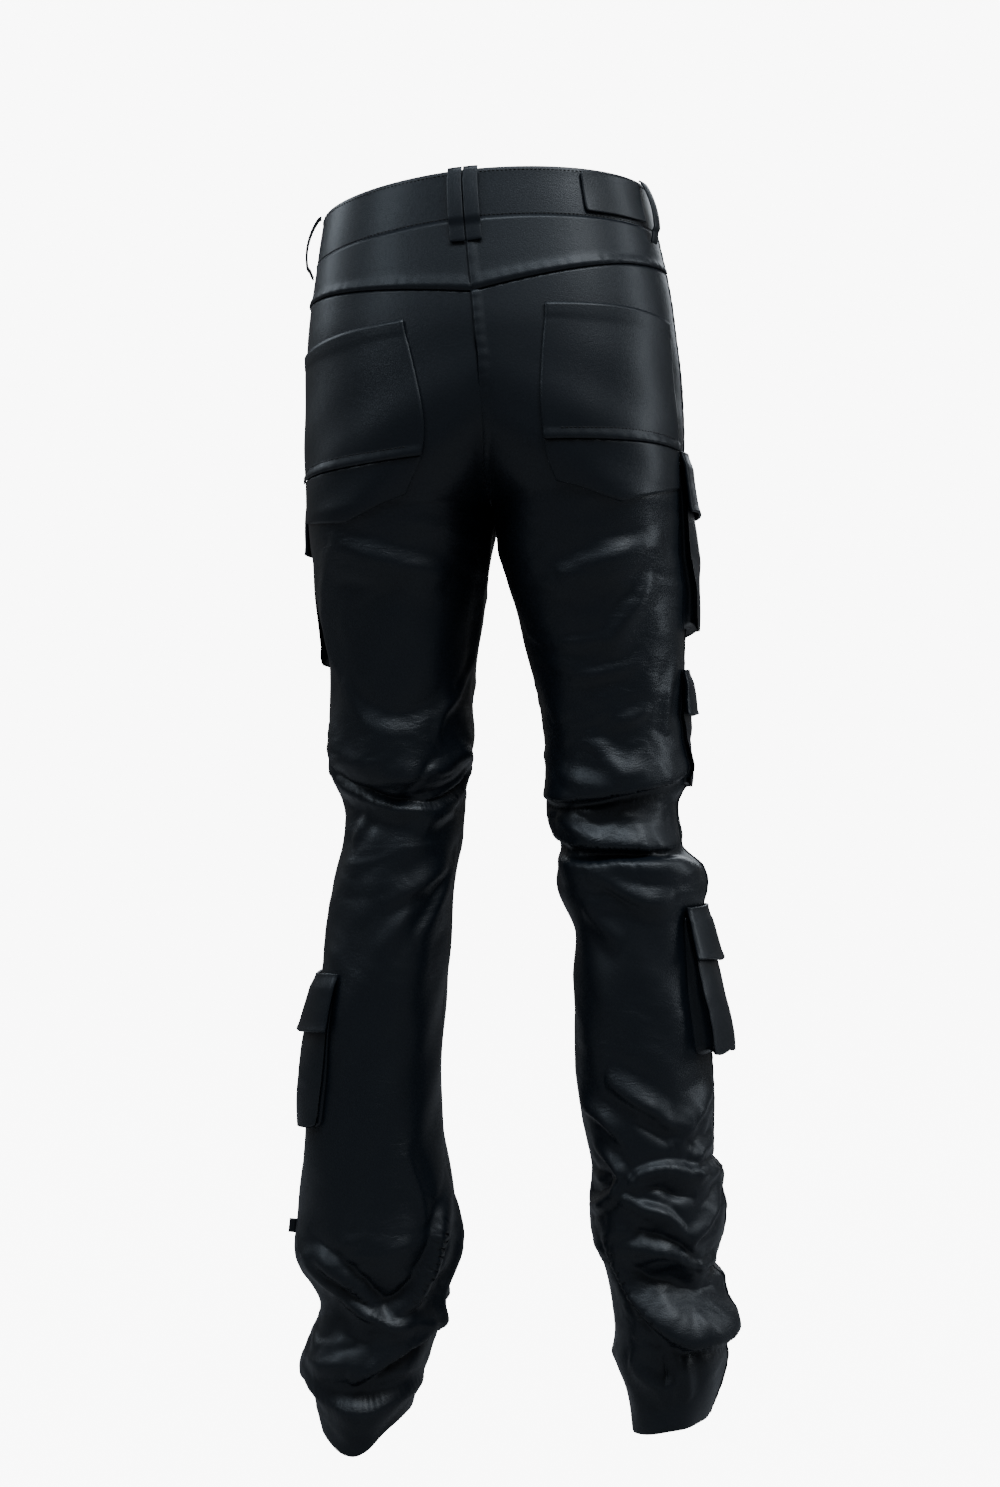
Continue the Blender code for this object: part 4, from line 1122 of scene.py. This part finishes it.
# how far the bag's face stands off the leg: more towards the foot, crowned across, slumping low down
def bagStand(u, v, mouthStand, footStand):
    stand = mouthStand + (footStand - mouthStand) * np.sin(np.clip(v, 0, 1) * np.pi / 2)
    crown = cargoShape["crown"] * (1 - (2 * u - 1) ** 2) * np.sin(np.pi * np.clip(v, 0, 1) * 0.85 + 0.25)
    return stand + crown


# the face is a grid with its two lower corners rounded; from its sides and foot a wall goes
# back to the leg, pleated inwards half way
def cargoBag(name):
    side, back, front, mouth, foot, _, mouthStand, footStand = cargoPockets[name]
    s = cargoShape
    columns = 45
    rows = 41
    wallRows = 9
    x = np.linspace(-1, 1, columns)[:, None]
    y = np.linspace(-1, 1, rows)[None]
    low = np.clip(y, 0, 1)
    faceX = x * np.sqrt(1 - s["corner"] * low**8)
    faceY = np.where(y > 0, y * np.sqrt(1 - s["corner"] * abs(x) ** 8 * (y > 0)), y)
    u = (faceX + 1) / 2
    v = (faceY + 1) / 2
    degrees = front + (back - front) * u
    drop = mouth + (foot - mouth) * v
    face, _ = onCloth(side, degrees, drop, bagStand(u, v, mouthStand, footStand))
    ring = np.concatenate([np.arange(rows), np.arange(1, columns) * rows + rows - 1,
                           (columns - 1) * rows + np.arange(rows - 2, -1, -1)])
    ringU = u.ravel()[ring]
    ringV = v.ravel()[ring]
    q = np.linspace(0, 1, wallRows + 1)[1:, None]
    tall = bagStand(ringU, ringV, mouthStand, footStand)[None]
    pleat = s["pleat"] * np.sin(np.pi * q) * np.clip(tall / 0.012, 0, 1)
    inX = (0.5 - ringU[None]) * 2
    inY = np.where(ringV[None] > 0.9, -1.0, 0.0)
    size = np.sqrt(inX**8 + abs(inY * ringV[None]) ** 8) + 1e-6
    pushU = pleat / s["wide"] * inX**7 / size
    pushV = pleat / s["tall"] * inY * np.clip((ringV[None] - 0.9) / 0.1, 0, 1)
    wallAngle = front + (back - front) * (ringU[None] + pushU)
    wallDrop = mouth + (foot - mouth) * (ringV[None] + pushV)
    wall, _ = onCloth(side, wallAngle, wallDrop, tall * (1 - q) + 0.0006 * q)
    points = np.concatenate([face.reshape(-1, 3), wall.reshape(-1, 3)])
    faces = gridFaces(columns, rows, side < 0)
    count = columns * rows
    n = len(ring)
    above = np.concatenate([ring[None], count + np.arange(wallRows * n).reshape(wallRows, n)])
    quads = np.stack([above[:-1, :-1], above[1:, :-1], above[1:, 1:], above[:-1, 1:]], -1).reshape(-1, 4)
    if side > 0:
        quads = quads[:, ::-1]
    thing = meshPiece("bag_" + name, points, [faces, quads[:, ::-1]], pocketLeather)
    thicken(thing, s["leather"])
    standFor(thing, "bag_" + name, slot="pocket_leather")
    t = np.linspace(0, 1, 60)
    for inset in s["insets"]:
        ku = inset / s["tall"]
        kv = inset / (foot - mouth)
        down = t * (0.97 - kv)
        for across in (ku, 1 - ku):
            high = bagStand(across, down, mouthStand, footStand) + 0.0001
            stitchRun(side, front + (back - front) * across, mouth + (foot - mouth) * down, high)
        across = ku + (1 - 2 * ku) * t
        high = bagStand(across, 1 - kv, mouthStand, footStand) + 0.0001
        stitchRun(side, front + (back - front) * across, foot - inset, high)


# the flap: a doubled sheet from its seam above the mouth, over the mouth and down the bag's face;
# its edge droops in the middle and curls up a little
def cargoFlap(name):
    side, back, front, mouth, foot, edge, mouthStand, footStand = cargoPockets[name]
    s = cargoShape
    extra = s["flapSide"] / s["wide"]
    top = mouth - s["flapRise"]

    # angle, drop and height at a share across and a share down
    def lie(u, v):
        drop = top + (edge + s["flapDroop"] * (1 - (2 * u - 1) ** 2) - top) * v
        down = np.clip((drop - mouth) / (foot - mouth), 0, 1)
        rest = bagStand(np.clip(u, 0, 1), down, mouthStand, footStand) + s["flapLift"]
        ease = np.clip((drop - top) / (mouth - top + 0.004), 0, 1)
        ease = ease * ease * (3 - 2 * ease)
        curl = s["flapCurl"] * np.clip((v - 0.8) / 0.2, 0, 1) ** 2
        over = np.clip(abs(u - 0.5) - 0.5, 0, 1) / extra
        height = s["flapSewn"] + (rest - s["flapSewn"]) * ease + curl - 0.0010 * over + s["flapThick"]
        return front + (back - front) * u, drop, height

    points, _ = onCloth(side, *lie(np.linspace(-extra, 1 + extra, 49)[:, None], np.linspace(0, 1, 31)[None]))
    thing = meshPiece("flap_" + name, points, [gridFaces(*points.shape[:2], side < 0)], pocketLeather)
    thicken(thing, s["flapThick"])
    softenEdges(thing, 0.0008)
    standFor(thing, "flap_" + name, slot="pocket_leather")
    fine = np.linspace(0, 1, 1200)
    for inset in s["insets"]:
        ku = inset / s["tall"]
        kv = inset / (edge - top)
        across = -extra + ku + (1 + 2 * extra - 2 * ku) * fine
        down = fine * (1 - kv)
        for u, v in ((-extra + ku, down), (1 + extra - ku, down), (across, 1 - kv), (across, kv)):
            degrees, drop, height = lie(u, v)
            stitchRun(side, degrees, drop, height + 0.0001)


print("cargo pockets")
for name in cargoPockets:
    cargoBag(name)
    cargoFlap(name)


# belt loops: a strip carried down the band, sewn at both ends and standing off between
# side, degrees, width, top, foot and how far it stands off
beltLoops = {
    "loop_back_left": (1, 87.3, 0.0116, 0.000, 0.053, 0.0016),
    "loop_back_right": (-1, 87.3, 0.0116, 0.000, 0.053, 0.0016),
    "loop_side_left": (1, 12.0, 0.011, 0.000, 0.050, 0.0070),
    "loop_side_right": (-1, 16.0, 0.011, 0.002, 0.054, 0.0055),
    "loop_front_left": (1, -52.0, 0.011, 0.000, 0.052, 0.0025),
    "loop_front_right": (-1, -52.0, 0.011, 0.000, 0.052, 0.0025),
}


loopShape = {
    "sewn": 0.0022,          # height of its sewn ends
    "step": 0.0016,          # up onto the band, which ends at this drop
    "bandEnds": 0.0445,
    "thick": 0.0016,
    "crown": 0.0003,
    "stitch": 0.66,          # rows of stitches, as a share of the half width
}


# height of a loop: over the step of the band, plus a bow between its ends, crowned across
def beltLoop(name):
    side, degrees, width, top, foot, stand = beltLoops[name]
    s = loopShape
    half = degreesFor(side, degrees, 0.03, width / 2)

    # angle, drop and height at a share across and a share down
    def lie(u, v):
        drop = np.clip(top + (foot - top) * v, 0, 1)
        onBand = np.clip((s["bandEnds"] - drop) / 0.003, 0, 1)
        bow = stand * np.sin(np.pi * v) ** 0.7
        return degrees + half * u, drop, s["sewn"] + s["step"] * onBand + bow + s["crown"] * (1 - u**2)

    v = np.linspace(0, 1, 41)[None]
    angle, drop, height = lie(np.linspace(-1, 1, 9)[:, None], v)
    tuck = np.clip(1 - v / 0.02, 0, 1)
    points, _ = onCloth(side, angle, drop, height - 0.0010 * tuck)
    points[..., 2] += 0.0006 * tuck
    thing = meshPiece(name, points, [gridFaces(*points.shape[:2], side < 0)], bandLeather)
    thicken(thing, s["thick"])
    softenEdges(thing, 0.0005)
    standFor(thing, name, slot="band_leather")
    for u in (-s["stitch"], s["stitch"]):
        angle, drop, height = lie(u, np.linspace(0.015, 0.985, 1200))
        stitchRun(side, angle, drop, height + 0.0002)


print("belt loops")
for name in beltLoops:
    beltLoop(name)


patchShape = {
    "angles": (20.0, 50.0),
    "drops": (0.0035, 0.0375),
    "stand": 0.0030,
    "leather": 0.0012,
    "corner": 0.05,
    "wave": 0.0002,
    "insetAngle": 1.6,
    "insetDrop": 0.0022,
}


# the patch: a rectangle with rounded corners, faintly wavy, laid on the band
def waistPatch():
    s = patchShape
    u = np.linspace(-1, 1, 41)[:, None]
    v = np.linspace(-1, 1, 33)[None]
    x = u * np.sqrt(1 - s["corner"] * v**10)
    y = v * np.sqrt(1 - s["corner"] * u**10)
    degrees = sum(s["angles"]) / 2 + (s["angles"][1] - s["angles"][0]) / 2 * x
    drop = sum(s["drops"]) / 2 + (s["drops"][1] - s["drops"][0]) / 2 * y
    points, _ = onCloth(-1, degrees, drop, s["stand"] + s["wave"] * np.cos(3 * x) * np.cos(2 * y))
    thing = meshPiece("waist_patch", points, [gridFaces(*points.shape[:2], True)], patchLeather)
    thicken(thing, s["leather"])
    standFor(thing, "waist_patch", slot="patch_leather")
    angles = np.linspace(s["angles"][0] + s["insetAngle"], s["angles"][1] - s["insetAngle"], 40)
    drops = np.linspace(s["drops"][0] + s["insetDrop"], s["drops"][1] - s["insetDrop"], 40)
    for run in ((angles, drops[0]), (angles, drops[-1]), (angles[0], drops), (angles[-1], drops)):
        stitchRun(-1, *run, s["stand"] + 0.0002)


tabShape = {"angle": 8.0, "drop": 0.836, "width": 0.011, "reach": 0.007, "spread": 0.9, "thick": 0.0008}


# a folded tab: a loop of ribbon whose profile goes out from the seam and back
def sideTab():
    s = tabShape
    t = np.linspace(0, 1, 17)[:, None]
    out = s["reach"] * np.sin(np.pi * t) ** 0.6
    aside = s["spread"] * np.cos(np.pi * t)
    w = np.linspace(-1, 1, 7)[None]
    points, _ = onCloth(1, s["angle"] + aside, s["drop"] + s["width"] / 2 * w, out + 0.0004)
    thing = meshPiece("side_tab_left", points, [gridFaces(*points.shape[:2], False)], bandLeather)
    thicken(thing, s["thick"])
    standFor(thing, "side_tab_left", slot="band_leather")


buttonShape = {
    "radius": 0.0085,
    "thick": 0.0026,
    "drop": 0.0205,
    "beside": 0.0125,        # from centre front
    "stand": 0.0035,
    "sides": 64,
    "profile": ((0.0, 0.0), (0.75, 0.0), (0.96, 0.10), (1.0, 0.35), (0.985, 0.70), (0.93, 0.92), (0.86, 1.0),
                (0.79, 0.94), (0.74, 0.70), (0.70, 0.52), (0.55, 0.46), (0.36, 0.50), (0.30, 0.66),
                (0.24, 0.80), (0.12, 0.86), (0.0, 0.88)),
}


# a jeans button turned from a profile of radius and height: rolled rim, dished face, raised boss
def waistButton():
    s = buttonShape
    profile = np.array(s["profile"])
    angle = -90.0 + degreesFor(1, -88.0, s["drop"], s["beside"])
    centre, out = onCloth(1, np.array([angle]), np.array([s["drop"]]), s["stand"])
    centre = centre[0]
    out = out[0]
    over = np.cross(out, (0.0, 0.0, 1.0))
    over /= np.linalg.norm(over)
    up = np.cross(over, out)
    k = np.arange(s["sides"])
    after = (k + 1) % s["sides"]
    turn = k / s["sides"] * 2 * np.pi
    ring = np.cos(turn)[:, None] * over + np.sin(turn)[:, None] * up
    points = centre + ring[:, None] * (profile[1:-1, 0] * s["radius"])[None, :, None]
    points = points + out * (profile[1:-1, 1] * s["thick"])[None, :, None]
    count = len(profile) - 2
    a = k[:, None] * count + np.arange(count - 1)[None]
    b = after[:, None] * count + np.arange(count - 1)[None]
    quads = np.stack([a, a + 1, b + 1, b], -1).reshape(-1, 4)
    tips = np.array([centre, centre + out * profile[-1, 1] * s["thick"]])
    tip = np.full(s["sides"], s["sides"] * count)
    low = np.stack([tip, k * count, after * count], -1)
    high = np.stack([tip + 1, after * count + count - 1, k * count + count - 1], -1)
    corners = np.concatenate([points.reshape(-1, 3), tips])
    thing = meshPiece("waist_button", corners, [quads, low, high], darkNickel)
    standFor(thing, "waist_button", slot="button_metal")


print("patch, tab and button")
waistPatch()
sideTab()
waistButton()


# topstitching along the seams: how far each row stands in from its edge
seamRows = {
    "band": (cut["bandDepth"] - 0.0012, 0.0032),
    "yoke": ((0.0020, 0.0013), (0.0085, 0.0004)),        # inset and height
    "hem": (0.0200, 0.0235),
    "seat": ((0.0022, 0.0015), (0.0082, 0.0005)),
    "front": ((0.0022, 0.0017), (0.0082, 0.0006)),
    "flyLong": 0.128,
    "flyWide": 0.036,
}


# angle of the centre seam at each drop
def centreSeam(drops):
    return np.degrees(np.arccos(-seamTurn(drops)))


# rows beside a centre seam, on the side that laps over the other
def centreRows(side, foot, rows):
    drops = np.linspace(cut["bandDepth"] + 0.003, foot, 120)
    end = centreSeam(drops)
    facing = -side                                  # at the seat the right laps over, in front the left
    for inset, height in rows:
        across = degreesFor(side, facing * np.minimum(end - 3, 176), drops, inset)
        stitchRun(side, facing * (end - across), drops, height)


# the fly: straight down beside the front seam, then curving in to it
def flyRows():
    s = seamRows
    t = np.linspace(0, 1, 80)
    depth = cut["bandDepth"] + 0.002 + s["flyLong"] * t
    inward = s["flyWide"] * (1 - np.clip((t - 0.62) / 0.38, 0, 1) ** 2) ** 0.5
    end = centreSeam(depth)
    across = degreesFor(1, -np.minimum(end - 12, 170), depth, inward)
    for extra in (0.0, 0.9):
        stitchRun(1, -(end - across - extra), depth, 0.0002)


# rows round the band, yoke and hem of each side
def roundRows(side):
    s = seamRows
    t = np.linspace(0, 1, 80)
    for drop in s["band"]:
        stitchRun(side, -88 + 176 * t, drop, bandShape["stand"] + 0.0002)
    for inset, height in s["yoke"]:
        stitchRun(side, 0.5 + 88.5 * t, cut["yokeDepth"] - inset, height)
    for inset in s["hem"]:
        stitchRun(side, -178 + 356 * t, 1.0 - inset, 0.0002)


print("topstitching")
for side in wordFor:
    roundRows(side)
centreRows(-1, 0.250, seamRows["seat"])
centreRows(1, 0.245, seamRows["front"])
flyRows()
sewStitches()


# floor, lights and camera: the floor and the surround look pale but throw little light back,
# so the black leather keeps its depth
studio = {
    "seen": 9.0,             # brightness that the camera sees
    "glow": 0.10,            # brightness that falls on the leather
    "floor": (0.30, 0.30, 0.31),
    "span": 14.0,
    "below": 0.03,           # the floor lies this far under the hems
    "lamps": (               # name, azimuth, height, distance, size, power, colour
        ("keyRight", 236, 2.0, 2.0, (0.9, 1.0), 28, (0.86, 0.93, 1.0)),
        ("keyLeft", 126, 1.5, 2.3, (0.7, 1.3), 13, (0.76, 0.88, 1.0)),
        ("overhead", 186, 2.1, 1.2, (1.6, 0.7), 28, (0.78, 0.89, 1.0)),
        ("rimRight", 280, 0.5, 2.2, (0.6, 1.9), 12, (0.84, 0.92, 1.0)),
        ("sideLeft", 68, 1.3, 2.5, (1.0, 1.4), 17, (0.80, 0.90, 1.0)),
        ("frontFill", 0, 1.2, 3.0, (2.4, 2.0), 44, (0.86, 0.93, 1.0)),
    ),
    "aim": (0, 0, -0.45),
}


# a square of floor under the hems that looks pale to the camera alone
def stageFloor():
    span = studio["span"]
    level = cadBox[0][2] - studio["below"]
    points = np.array([(x * span, y * span, level) for x, y in ((-1, -1), (1, -1), (1, 1), (-1, 1))])
    material, tree, shader = openMaterial("paleFloor")
    shader.inputs["Base Color"].default_value = (*studio["floor"], 1)
    shader.inputs["Roughness"].default_value = 0.9
    shader.inputs["Specular IOR Level"].default_value = 0.1
    shader.inputs["Emission Strength"].default_value = studio["seen"]
    seen = tree.nodes.new("ShaderNodeLightPath").outputs["Is Camera Ray"]
    tree.links.new(seen, shader.inputs["Emission Color"])
    floor = meshPiece("floor", points, [np.array([[0, 1, 2, 3]])], material)


# an area lamp at an azimuth, height and distance, turned towards the middle of the trousers
def softLight(name, azimuth, height, distance, size, power, colour):
    data = bpy.data.lights.new(name, "AREA")
    data.shape = "RECTANGLE"
    data.size, data.size_y = size
    data.energy = power
    data.color = colour
    lamp = bpy.data.objects.new(name, data)
    turn = math.radians(azimuth)
    place = np.array([math.sin(turn) * distance, -math.cos(turn) * distance, height])
    lamp.location = place
    toward = np.array(studio["aim"]) - place
    lamp.rotation_euler = (math.atan2(math.hypot(toward[0], toward[1]), -toward[2]), 0,
                           math.atan2(-toward[0], toward[1]))
    scene.collection.objects.link(lamp)


cameraView = {"azimuth": 188.0, "distance": 2.4, "height": -0.448, "aside": 0.0092, "focal": 69.5}


# a level camera at an azimuth and distance, moved a little aside
def viewCamera():
    v = cameraView
    turn = math.radians(v["azimuth"])
    data = bpy.data.cameras.new("camera")
    data.lens = v["focal"]
    data.sensor_width = 36.0
    camera = bpy.data.objects.new("camera", data)
    camera.location = (math.sin(turn) * v["distance"] + math.cos(turn) * v["aside"],
                       -math.cos(turn) * v["distance"] + math.sin(turn) * v["aside"], v["height"])
    camera.rotation_euler = (math.pi / 2, 0, turn)
    scene.collection.objects.link(camera)
    scene.camera = camera


# the surround: bright to the camera, dim to everything else
def paleSurround():
    world = bpy.data.worlds.new("studio")
    world.use_nodes = True
    tree = world.node_tree
    seen = tree.nodes.new("ShaderNodeLightPath").outputs["Is Camera Ray"]
    strength = mathNode(tree, "MULTIPLY_ADD", seen, studio["seen"] - studio["glow"])
    strength.node.inputs[2].default_value = studio["glow"]
    tree.links.new(strength, tree.nodes["Background"].inputs["Strength"])
    tree.nodes["Background"].inputs["Color"].default_value = (1, 1, 1, 1)
    scene.world = world


print("stage")
stageFloor()
for lamp in studio["lamps"]:
    softLight(*lamp)
paleSurround()
viewCamera()
